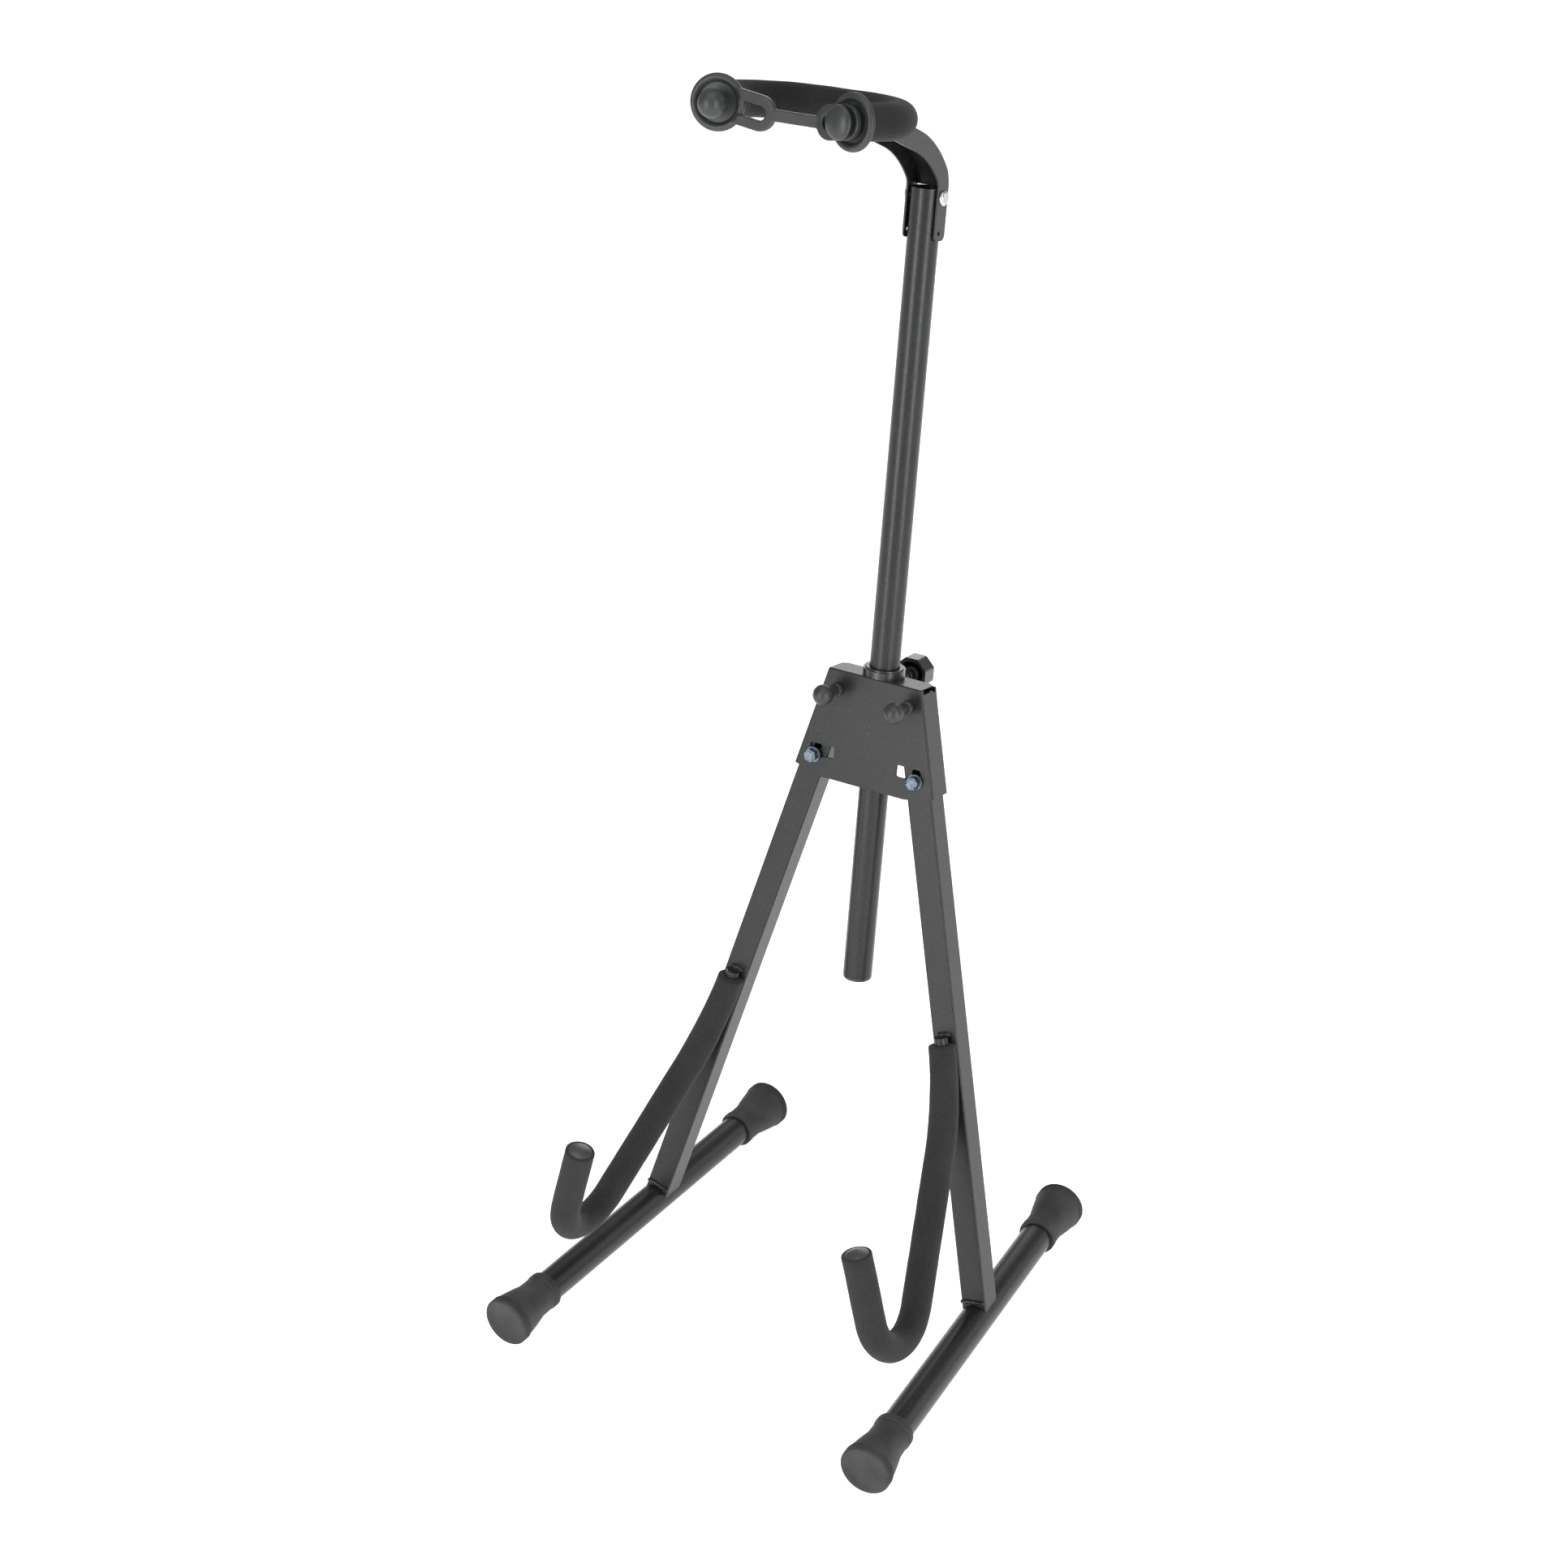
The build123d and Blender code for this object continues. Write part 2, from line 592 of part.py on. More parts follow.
# yoke rod centre line, in its own plane
toe = math.radians(yoke_toe)
tip_dx = math.sin(toe)
tip_dy = math.cos(toe)
arc_x = yoke_half + yoke_bend_r * math.cos(toe)
arc_y = -yoke_bend_r - yoke_bend_r * math.sin(toe)
ring_x = arc_x - yoke_straight * tip_dx
ring_y = arc_y - yoke_straight * tip_dy


def yoke_path():
    """U-shaped centre line from the right prong to the left prong."""
    prong_a = Line((ring_x, ring_y), (arc_x, arc_y))
    bend_a = JernArc(prong_a @ 1, prong_a % 1, yoke_bend_r, 90 + yoke_toe)
    back = Line(bend_a @ 1, (-yoke_half, 0))
    bend_b = JernArc(back @ 1, back % 1, yoke_bend_r, 90 + yoke_toe)
    prong_b = Line(bend_b @ 1, (-ring_x, ring_y))
    return Wire([prong_a, bend_a, back, bend_b, prong_b])


yoke_line = yoke_path()
yoke_rod = tube_along(yoke_line, yoke_rod_r)
bracket_world = upright_place * bracket
rod_world = yoke_place * yoke_rod
bracket_world -= rod_world
bracket_world = bracket_world.solids().sort_by(SortBy.VOLUME)[-1]
save(bracket_world, "yoke_bracket")
save(rod_world, "yoke_rod")

yoke_foam = tube_along(yoke_line, yoke_foam_r) - yoke_rod
foam_world = yoke_place * yoke_foam
neck_block = upright_place * side_cut(neck_face(0, ear_deep), ear_out, -ear_out)
foam_world -= neck_block
foam_world = foam_world.solids().sort_by(SortBy.VOLUME)[-1]
save(foam_world, "yoke_foam")

# rivet through the ears and the upright
rivet = Pos(0, 0, pivot_z) * Rot(0, 90, 0) * Cylinder(rivet_r, 2 * ear_out)
for side in (-1, 1):
    head_at = Pos(side * (ear_out + rivet_head_h / 2), 0, pivot_z) * Rot(0, 90, 0)
    rivet_head = head_at * Cylinder(rivet_head_r, rivet_head_h)
    rivet += fillet(rivet_head.edges().sort_by(Axis.X)[-1 if side > 0 else 0], rivet_head_h - 0.4)
save(upright_place * rivet, "yoke_rivet")

# ---- yoke end caps and security strap ------------------------------------


def prong_cap(knob):
    """Rubber cap on a prong end, carrying a knob; the cap starts at z = 0 and +z points out."""
    rim_mid = yoke_cap_r - yoke_rim_r
    body = rod_z(rim_mid, 0, yoke_cap_floor)
    body += rod_z(yoke_cap_r, 0, yoke_cap_floor) - rod_z(rim_mid, -1, yoke_cap_floor + 1)
    rim = Pos(0, 0, yoke_cap_floor) * Torus(rim_mid, yoke_rim_r)
    body += rim & (Pos(0, 0, yoke_cap_r) * Box(4 * yoke_cap_r, 4 * yoke_cap_r, 2 * yoke_cap_r))
    body += rod_z(yoke_neck_r, 0, yoke_ball_off)
    body += Pos(0, 0, yoke_ball_off) * knob
    return body


def prong_frame(side):
    """Frame at a prong end with +z along the prong."""
    out = (-side * tip_dx, -tip_dy, 0)
    return Plane(origin=(side * ring_x, ring_y, 0), x_dir=(0, 0, 1), z_dir=out)


button = scale(Sphere(yoke_button_r), by=(1, 1, yoke_button_h / (2 * yoke_button_r)))
right_cap = prong_frame(1) * prong_cap(button)
left_cap = prong_frame(-1) * prong_cap(Sphere(yoke_ball_r))
save(yoke_place * right_cap, "yoke_cap_right")

# eye round the neck of the button, drawn out toward the left prong
eye_low = yoke_cap_floor + yoke_rim_r + eye_gap
eye_ring = SlotCenterToCenter(eye_reach, 2 * eye_r) - SlotCenterToCenter(eye_reach, 2 * eye_hole_r)
eye_body = Pos(0, 0, eye_low) * extrude(eye_ring, strap_t)
strap_eye = prong_frame(1) * Rot(0, 0, 90 + eye_turn) * Pos(eye_reach / 2, 0, 0) * eye_body

# keyhole loop and bar, one flat band between the left cap and the eye
turn = math.radians(eye_turn)
eye_mid = eye_low + strap_t / 2
eye_out = eye_reach + eye_r - eye_lap
eye_end_x = ring_x - tip_dx * eye_mid - tip_dy * math.cos(turn) * eye_out
eye_end_y = ring_y - tip_dy * eye_mid + tip_dx * math.cos(turn) * eye_out
eye_end_z = -math.sin(turn) * eye_out
root_x = -ring_x + tip_dx * yoke_cap_floor + tip_dy * loop_root
root_y = ring_y - tip_dy * yoke_cap_floor + tip_dx * loop_root
band_turn = math.degrees(math.atan2(eye_end_y - root_y, eye_end_x - root_x))
band_len = math.hypot(eye_end_x - root_x, eye_end_y - root_y)
loop_drop = math.degrees(math.atan2(eye_end_z, loop_len))
loop_mid = Rot(0, 0, loop_drop) * Pos(loop_len / 2, 0)
loop_face = loop_mid * SlotCenterToCenter(loop_len, 2 * loop_half)
slot_face = loop_mid * SlotCenterToCenter(loop_len, 2 * (loop_half - rail_w))
bar_face = Pos(loop_len + (band_len - loop_len) / 2, eye_end_z) * Rectangle(band_len - loop_len, bar_w)
band_face = loop_face + bar_face - slot_face
flat_band = Rot(90, 0, 0) * extrude(band_face, strap_t / 2, both=True)
strap = Pos(root_x, root_y, 0) * Rot(0, 0, band_turn) * flat_band
prong_room = prong_frame(-1) * rod_z(yoke_cap_r - yoke_rim_r, -40, yoke_cap_floor + yoke_rim_r + 20)
prong_room += prong_frame(-1) * rod_z(2 * yoke_cap_r, -40, 0)
strap = strap - prong_room + left_cap + strap_eye
save(yoke_place * strap, "security_strap")
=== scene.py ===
"""Looks of a folding guitar stand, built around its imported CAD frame. Metres, +Z up, front toward -Y."""

import json
import logging
import math
from dataclasses import dataclass, field
from enum import Enum
from typing import Any, Iterable, Optional, Sequence, Union

import bmesh
import bpy
import numpy as np
from mathutils import Matrix, Vector


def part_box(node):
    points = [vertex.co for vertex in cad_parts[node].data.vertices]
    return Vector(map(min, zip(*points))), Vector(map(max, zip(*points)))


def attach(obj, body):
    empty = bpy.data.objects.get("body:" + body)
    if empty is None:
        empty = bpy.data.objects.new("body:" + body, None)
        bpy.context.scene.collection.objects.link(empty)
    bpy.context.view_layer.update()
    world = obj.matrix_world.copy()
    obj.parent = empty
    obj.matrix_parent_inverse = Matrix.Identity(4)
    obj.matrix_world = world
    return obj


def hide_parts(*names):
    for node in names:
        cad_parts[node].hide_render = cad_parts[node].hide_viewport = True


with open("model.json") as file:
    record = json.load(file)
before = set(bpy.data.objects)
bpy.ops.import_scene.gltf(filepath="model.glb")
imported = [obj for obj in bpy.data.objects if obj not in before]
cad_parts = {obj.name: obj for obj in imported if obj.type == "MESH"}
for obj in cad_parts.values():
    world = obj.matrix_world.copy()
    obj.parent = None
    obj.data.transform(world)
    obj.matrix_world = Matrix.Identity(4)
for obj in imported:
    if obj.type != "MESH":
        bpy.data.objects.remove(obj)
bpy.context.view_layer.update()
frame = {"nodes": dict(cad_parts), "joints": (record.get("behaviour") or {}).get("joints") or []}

log = logging.getLogger("guitar_stand")

MM = 0.001
UP = Vector((0.0, 0.0, 1.0))
ACROSS = Vector((1.0, 0.0, 0.0))
SIDE_VIEW = Matrix(((0, 0, 1, 0), (1, 0, 0, 0), (0, 1, 0, 0), (0, 0, 0, 1)))  # x, y to y, z
Colour = tuple[float, float, float]
Profile = list[tuple[float, float]]

CREASE = 38.0        # degrees: sharper edges stay sharp
SOFT_CREASE = 70.0   # the same on a soft moulding
EASE_FROM = 32.0     # degrees: sharper edges are rounded
FLAT_WITHIN = 0.4    # degrees: faces of a CAD mesh that are one flat face
CAD_WELD = 2e-6      # merge distance for the corners of a CAD mesh
POLE_RADIUS = 1e-4   # millimetres, where a turned profile meets its axis


class Side(Enum):
    """The two sides of the stand, as a person facing its front sees them."""

    RIGHT = 1
    LEFT = -1

    @property
    def word(self) -> str:
        """The word that ends this side's node names."""
        return self.name.lower()


class Slot(Enum):
    """The record's material slots."""

    POWDER = "powder_black"
    FOAM = "foam_black"
    RUBBER = "rubber_black"
    ZINC = "zinc_steel"
    BRIGHT = "bright_steel"
    DARK = "dark_steel"
    PLASTIC = "plastic_black"


# ---- node toolkit ----------------------------------------------------------


class Graph:
    """Adds nodes to one node tree, of a material or of a shape."""

    def __init__(self, tree: bpy.types.NodeTree) -> None:
        """Args:
            tree: the node tree that the nodes go into.
        """
        self.tree = tree

    def node(self, kind: str, settings: Optional[dict[str, Any]] = None,
             inputs: Optional[dict[Any, Any]] = None) -> bpy.types.Node:
        """Make one node, set it up, then fill or link its sockets.

        Args:
            kind: the node's Blender type.
            settings: node properties, set before the sockets.
            inputs: socket name or number to a value, a Wire or a socket.

        Returns:
            The new node.
        """
        made = self.tree.nodes.new(kind)
        for name, value in (settings or {}).items():
            setattr(made, name, value)
        for key, value in (inputs or {}).items():
            source = value.socket if isinstance(value, Wire) else value
            if isinstance(source, bpy.types.NodeSocket):
                self.tree.links.new(source, made.inputs[key])
            else:
                made.inputs[key].default_value = source
        return made

    def wire(self, kind: str, settings: Optional[dict[str, Any]] = None,
             inputs: Optional[dict[Any, Any]] = None, output: Any = 0) -> "Wire":
        """Make one node and give back one of its outputs as a Wire.

        Args:
            kind: the node's Blender type.
            settings: node properties.
            inputs: socket name or number to a value, a Wire or a socket.
            output: name or number of the output.

        Returns:
            The output, ready for arithmetic.
        """
        return Wire(self, self.node(kind, settings, inputs).outputs[output])

    def vector(self, operation: str, first: Any, second: Any = None, output: Any = 0) -> "Wire":
        """One Vector Math node.

        Args:
            operation: its operation.
            first: first vector.
            second: second vector, or the factor of SCALE.
            output: name or number of the output.

        Returns:
            The result.
        """
        inputs = {0: first}
        if second is not None:
            inputs["Scale" if operation == "SCALE" else 1] = second
        return self.wire("ShaderNodeVectorMath", {"operation": operation}, inputs, output)


Number = Union[float, "Wire"]


class Wire:
    """A value socket that takes part in Python arithmetic; each operation adds one Math node."""

    def __init__(self, graph: Graph, socket: bpy.types.NodeSocket) -> None:
        """Args:
            graph: where new nodes go.
            socket: the output that this wire carries on.
        """
        self.graph = graph
        self.socket = socket

    def _math(self, operation: str, *values: Number) -> "Wire":
        """One Math node on the given values."""
        return self.graph.wire("ShaderNodeMath", {"operation": operation}, dict(enumerate(values)))

    def __add__(self, other: Number) -> "Wire":
        """Sum."""
        return self._math("ADD", self, other)

    def __sub__(self, other: Number) -> "Wire":
        """Difference."""
        return self._math("SUBTRACT", self, other)

    def __rsub__(self, other: Number) -> "Wire":
        """Difference from a plain number."""
        return self._math("SUBTRACT", other, self)

    def __mul__(self, other: Number) -> "Wire":
        """Product."""
        return self._math("MULTIPLY", self, other)

    def __truediv__(self, other: Number) -> "Wire":
        """Quotient."""
        return self._math("DIVIDE", self, other)

    def __pow__(self, other: Number) -> "Wire":
        """Power."""
        return self._math("POWER", self, other)

    __radd__ = __add__
    __rmul__ = __mul__

    def sine(self) -> "Wire":
        """Sine of an angle in radians."""
        return self._math("SINE", self)

    def at_least(self, low: Number) -> "Wire":
        """The larger of this and a value."""
        return self._math("MAXIMUM", self, low)

    def spread(self, low: float, high: float) -> "Wire":
        """Stretch the stretch from low to high to 0..1 and clamp what lies outside.

        Args:
            low: value that becomes 0.
            high: value that becomes 1.

        Returns:
            A clamped value.
        """
        return self.graph.wire("ShaderNodeMapRange", {"clamp": True}, {0: self, 1: low, 2: high})


class SurfaceGraph(Graph):
    """The node tree of one material, with its Principled shader in place."""

    def __init__(self, name: str) -> None:
        """Args:
            name: the material's name.
        """
        self.material = bpy.data.materials.new(name)
        self.material.use_nodes = True
        super().__init__(self.material.node_tree)
        self.tree.nodes.clear()
        self.shader = self.node("ShaderNodeBsdfPrincipled")
        self.node("ShaderNodeOutputMaterial", None, {"Surface": self.shader.outputs[0]})
        self.place = self.wire("ShaderNodeTexCoord", output="Object")

    def noise(self, size_mm: float, detail: float = 2.0, stretch: Sequence[float] = (1, 1, 1)) -> Wire:
        """Cloudy noise.

        Args:
            size_mm: size of its blotches.
            detail: number of finer layers.
            stretch: scale along each axis.

        Returns:
            A value about 0.5.
        """
        turned = self.wire("ShaderNodeMapping", None, {"Vector": self.place, "Scale": tuple(stretch)})
        values = {"Vector": turned, "Scale": 1 / (size_mm * MM), "Detail": detail}
        return self.wire("ShaderNodeTexNoise", None, values)

    def cells(self, size_mm: float) -> Wire:
        """Distance to the middle of small cells.

        Args:
            size_mm: size of a cell.

        Returns:
            0 in a cell's middle, up to about 1 between cells.
        """
        values = {"Vector": self.place, "Scale": 1 / (size_mm * MM)}
        return self.wire("ShaderNodeTexVoronoi", None, values, "Distance")

    def mix(self, factor: Number, first: Any, second: Any) -> Wire:
        """Mix two colours.

        Args:
            factor: 0 for the first, 1 for the second.
            first: colour or wire.
            second: colour or wire.

        Returns:
            The mixed colour.
        """
        values = {0: factor}
        for number, colour in ((6, first), (7, second)):
            values[number] = colour if isinstance(colour, Wire) else (*colour, 1.0)
        return self.wire("ShaderNodeMix", {"data_type": "RGBA", "clamp_factor": True}, values, 2)

    def finish(self, colour: Wire, roughness: Wire, height: Wire, depth_mm: float, strength: float,
               constants: Optional[dict[str, Any]] = None) -> bpy.types.Material:
        """Wire the varying values to the shader and set its constant ones.

        Args:
            colour: base colour.
            roughness: roughness.
            height: relief, 0 to 1.
            depth_mm: how deep the relief is.
            strength: how strongly it shows.
            constants: shader socket name to value.

        Returns:
            The finished material.
        """
        values = {"Height": height, "Distance": depth_mm * MM, "Strength": strength}
        normal = self.wire("ShaderNodeBump", None, values)
        for name, wire in (("Base Color", colour), ("Roughness", roughness), ("Normal", normal)):
            self.tree.links.new(wire.socket, self.shader.inputs[name])
        for name, value in (constants or {}).items():
            self.shader.inputs[name].default_value = value
        return self.material


# ---- finishes --------------------------------------------------------------


@dataclass(frozen=True)
class Finish:
    """What every finish has: a name, a base colour and a roughness."""

    name: str
    colour: Colour
    roughness: float

    def material(self) -> bpy.types.Material:
        """The material, built on first use."""
        return bpy.data.materials.get(self.name) or self.build()

    def build(self) -> bpy.types.Material:
        """Build the material's nodes."""
        raise NotImplementedError

    def toned(self, share: float) -> Colour:
        """The base colour made lighter or darker.

        Args:
            share: factor on each channel.

        Returns:
            The new colour.
        """
        return tuple(channel * share for channel in self.colour)


@dataclass(frozen=True)
class PowderCoat(Finish):
    """Satin powder coat: orange peel, fine flecks, painted shade darkening the low pits of its grain, and
    a little unevenness in tone.
    """

    fleck: Colour = (0.075, 0.081, 0.077)
    cloud_mm: float = 34.0
    peel_mm: float = 1.7
    fleck_mm: float = 0.75
    relief_mm: float = 0.05
    sharpness: float = 0.5
    specular: float = 0.36

    def build(self) -> bpy.types.Material:
        """Build the material's nodes."""
        g = SurfaceGraph(self.name)
        cloud = g.noise(self.cloud_mm, 3.0)
        peel = g.noise(self.peel_mm, 2.0)
        grain = g.noise(self.fleck_mm, 1.0)
        flecks = grain.spread(0.60, 0.74)
        pit_shade = grain.spread(0.40, 0.27)
        tone = g.mix(cloud.spread(0.3, 0.7), self.toned(0.86), self.toned(1.16))
        dotted = g.mix(flecks * 0.55, tone, self.fleck)
        # painted shade: the pits, the low spots of the fine grain, are darkened toward 0.45 of the base
        # colour as if shaded
        colour = g.mix(pit_shade * 0.5, dotted, self.toned(0.45))
        rough = peel * 0.16 + cloud * 0.08 - flecks * 0.1 + (self.roughness - 0.12)
        return g.finish(colour, rough, peel * 0.7 + grain * 0.3, self.relief_mm, self.sharpness,
                        {"IOR": 1.5, "Specular IOR Level": self.specular})


@dataclass(frozen=True)
class Foam(Finish):
    """Closed-cell foam sleeve: matte skin, open pores darkened with painted shade, and paler specks."""

    speck: Colour = (0.085, 0.087, 0.082)
    cell_mm: float = 1.15
    large_cell_mm: float = 3.565
    cloud_mm: float = 26.0
    fuzz_mm: float = 0.55
    relief_mm: float = 0.22

    def build(self) -> bpy.types.Material:
        """Build the material's nodes."""
        g = SurfaceGraph(self.name)
        cloud = g.noise(self.cloud_mm, 3.0)
        fuzz = g.noise(self.fuzz_mm, 3.0)
        pores = g.cells(self.cell_mm)
        large = g.cells(self.large_cell_mm)
        pore_depth_and_shade = 1.0 - pores.spread(0.05, 0.55)
        large_pore_depth_and_shade = 1.0 - large.spread(0.03, 0.16)
        tone = g.mix(cloud.spread(0.3, 0.7), self.toned(0.82), self.toned(1.2))
        specked = g.mix(fuzz.spread(0.60, 0.76) * 0.6, tone, self.speck)
        # painted shade: the pores, small and large, are darkened toward 0.35 of the base colour as if
        # shaded inside
        colour = g.mix(pore_depth_and_shade * 0.45 + large_pore_depth_and_shade * 0.4, specked, self.toned(0.35))
        rough = fuzz * 0.08 + (self.roughness - 0.04)
        height = 1.0 - pore_depth_and_shade * 0.55 - large_pore_depth_and_shade * 0.4 + fuzz * 0.5
        return g.finish(colour, rough, height, self.relief_mm, 0.8,
                        {"Specular IOR Level": 0.18, "Sheen Weight": 0.06, "Sheen Roughness": 0.6})


@dataclass(frozen=True)
class Rubber(Finish):
    """Moulded rubber: soft bloom in the tone and a fine moulded grain."""

    bloom: Colour = (0.075, 0.077, 0.074)
    bloom_share: float = 0.35
    grain_mm: float = 0.6
    cloud_mm: float = 18.0
    dust_mm: float = 2.6
    relief_mm: float = 0.05
    specular: float = 0.42

    def build(self) -> bpy.types.Material:
        """Build the material's nodes."""
        g = SurfaceGraph(self.name)
        cloud = g.noise(self.cloud_mm, 4.0)
        grain = g.noise(self.grain_mm, 2.0)
        dust = g.noise(self.dust_mm, 3.0)
        tone = g.mix(cloud.spread(0.35, 0.72) * self.bloom_share, self.colour, self.bloom)
        colour = g.mix(grain.spread(0.62, 0.75) * 0.35, tone, self.bloom)
        rough = cloud * 0.1 + dust * 0.12 + (self.roughness - 0.11)
        return g.finish(colour, rough, grain * 0.7 + dust * 0.3, self.relief_mm, 0.5,
                        {"Specular IOR Level": self.specular})


@dataclass(frozen=True)
class Plastic(Finish):
    """Semi-gloss moulded plastic with a faint spark-eroded grain."""

    cloud_mm: float = 14.0
    grain_mm: float = 0.5
    relief_mm: float = 0.03

    def build(self) -> bpy.types.Material:
        """Build the material's nodes."""
        g = SurfaceGraph(self.name)
        cloud = g.noise(self.cloud_mm, 2.0)
        grain = g.noise(self.grain_mm, 2.0)
        colour = g.mix(cloud.spread(0.3, 0.7), self.toned(0.85), self.toned(1.25))
        rough = grain * 0.12 + cloud * 0.06 + (self.roughness - 0.09)
        return g.finish(colour, rough, grain, self.relief_mm, 0.4,
                        {"Coat Weight": 0.25, "Coat Roughness": 0.25})


@dataclass(frozen=True)
class Metal(Finish):
    """Bare or plated steel: mottled plating and fine handling scratches."""

    shade: Colour = (0.3, 0.34, 0.4)
    metallic: float = 1.0
    mottle_mm: float = 2.2
    scratch_mm: float = 0.5
    relief_mm: float = 0.02

    def build(self) -> bpy.types.Material:
        """Build the material's nodes."""
        g = SurfaceGraph(self.name)
        mottle = g.noise(self.mottle_mm, 3.0)
        scratch = g.noise(self.scratch_mm, 2.0, (1.0, 0.12, 1.0))
        colour = g.mix(mottle.spread(0.34, 0.68), self.colour, self.shade)
        rough = mottle * 0.16 + scratch * 0.14 + (self.roughness - 0.15)
        return g.finish(colour, rough, scratch * 0.6 + mottle * 0.4, self.relief_mm, 0.4,
                        {"Metallic": self.metallic})


@dataclass(frozen=True)
class PaleFloor(Finish):
    """Pale seamless studio floor, with a little light of its own so that it stays pale to its edge."""

    glow: float = 0.8
    cloud_mm: float = 420.0
    grain_mm: float = 3.0

    def build(self) -> bpy.types.Material:
        """Build the material's nodes."""
        g = SurfaceGraph(self.name)
        cloud = g.noise(self.cloud_mm, 3.0)
        grain = g.noise(self.grain_mm, 2.0)
        colour = g.mix(cloud.spread(0.3, 0.7), self.colour, self.toned(1.02))
        return g.finish(colour, grain * 0.05 + self.roughness, grain, 0.05, 0.1,
                        {"Specular IOR Level": 0.1, "Emission Color": (1, 1, 1, 1),
                         "Emission Strength": self.glow})


class Coat(Enum):
    """Every finish that the stand wears."""

    POWDER = PowderCoat("powder_coat", (0.0098, 0.0112, 0.0104), 0.33)
    WELD = PowderCoat("powder_coat_on_weld", (0.010, 0.0114, 0.0106), 0.30, relief_mm=0.03)
    FOAM = Foam("foam_sleeve", (0.0185, 0.0190, 0.0180), 0.93)
    YOKE_FOAM = Foam("yoke_foam_sleeve", (0.0078, 0.0080, 0.0078), 0.93)
    FOOT_RUBBER = Rubber("foot_rubber", (0.015, 0.016, 0.015), 0.66)
    YOKE_RUBBER = Rubber("yoke_rubber", (0.017, 0.0185, 0.0185), 0.42, bloom_share=0.25)
    BUMPER_RUBBER = Rubber("bumper_rubber", (0.018, 0.0192, 0.0188), 0.40, bloom_share=0.2)
    PLASTIC = Plastic("moulded_plastic", (0.012, 0.0128, 0.0125), 0.30)
    TIP = Plastic("hook_end_plug", (0.030, 0.031, 0.030), 0.42)
    ZINC = Metal("zinc_plate", (0.17, 0.20, 0.235), 0.40, (0.10, 0.12, 0.15))
    BRIGHT = Metal("bright_rivet", (0.56, 0.58, 0.56), 0.30, (0.42, 0.44, 0.42))
    DARK = Metal("blackened_steel", (0.055, 0.056, 0.060), 0.38, (0.03, 0.031, 0.034), 0.85)
    FLOOR = PaleFloor("pale_floor", (0.86, 0.86, 0.86), 0.8)


# ---- mesh toolkit ----------------------------------------------------------


def turned_frame(origin: Vector, y_axis: Vector, z_axis: Vector) -> Matrix:
    """A frame from its origin and two of its axes.

    Args:
        origin: where it stands.
        y_axis: its second axis.
        z_axis: its third axis, at a right angle to the second.

    Returns:
        A 4x4 matrix.
    """
    x_axis = y_axis.cross(z_axis)
    turned = Matrix((x_axis, y_axis, z_axis)).transposed().to_4x4()
    return Matrix.Translation(origin) @ turned


def arc(centre: tuple[float, float], radius: float, start: float, stop: float,
        count: int = 8) -> Profile:
    """Points on an arc of a profile.

    Args:
        centre: its middle.
        radius: its radius.
        start: first angle in degrees, from the first axis toward the second.
        stop: last angle in degrees.
        count: number of steps.

    Returns:
        count + 1 points.
    """
    angles = np.radians(np.linspace(start, stop, count + 1))
    return [(centre[0] + radius * math.cos(a), centre[1] + radius * math.sin(a)) for a in angles]


def shade(mesh: bpy.types.Mesh, crease: float = CREASE) -> None:
    """Smooth shading that keeps edges sharper than the crease angle in degrees."""
    mesh.shade_smooth()
    mesh.set_sharp_from_angle(angle=math.radians(crease))


def new_object(name: str, mesh: bpy.types.Mesh, coat: Coat,
               crease: Optional[float] = CREASE) -> bpy.types.Object:
    """Put a mesh in the scene with its finish.

    Args:
        name: the piece's name.
        mesh: its mesh, in the stand's frame.
        coat: its finish.
        crease: edges sharper than this many degrees stay sharp; None keeps the mesh's own normals.

    Returns:
        The object, at the origin.
    """
    mesh.name = name
    mesh.materials.clear()
    mesh.materials.append(coat.value.material())
    if crease is not None:
        shade(mesh, crease)
    made = bpy.data.objects.new(name, mesh)
    bpy.context.scene.collection.objects.link(made)
    return made


def mesh_of(shape: bmesh.types.BMesh, weld: float = 1e-7) -> bpy.types.Mesh:
    """Merge doubles, turn the faces outward and make a mesh.

    Args:
        shape: the bmesh, which is freed.
        weld: merge distance.

    Returns:
        The mesh.
    """
    bmesh.ops.remove_doubles(shape, verts=shape.verts, dist=weld)
    bmesh.ops.recalc_face_normals(shape, faces=shape.faces)
    mesh = bpy.data.meshes.new("shape")
    shape.to_mesh(mesh)
    shape.free()
    return mesh


def add_rings(shape: bmesh.types.BMesh, rings: Iterable[Sequence[Vector]]) -> None:
    """Skin a row of rings of points and close both ends.

    Args:
        shape: the bmesh to add to.
        rings: the rings, each with the same number of points.
    """
    rows = [[shape.verts.new(point) for point in ring] for ring in rings]
    for low, high in zip(rows, rows[1:]):
        for k, corner in enumerate(low):
            after = (k + 1) % len(low)
            shape.faces.new((corner, low[after], high[after], high[k]))
    shape.faces.new(list(reversed(rows[0])))
    shape.faces.new(rows[-1])


def add_lathe(shape: bmesh.types.BMesh, profile: Profile, place: Matrix, steps: int = 64) -> None:
    """Turn a profile of (radius, height) in millimetres round the frame's third axis.

    Args:
        shape: the bmesh to add to.
        profile: from one end of the axis to the other; a radius of 0 makes a pole.
        place: frame of the turned shape.
        steps: steps round the axis.
    """
    angles = np.linspace(0.0, 2 * math.pi, steps, endpoint=False)
    rings = []
    for radius, height in profile:
        wide = max(radius, POLE_RADIUS) * MM
        ring = [place @ Vector((wide * math.cos(a), wide * math.sin(a), height * MM)) for a in angles]
        rings.append(ring)
    add_rings(shape, rings)


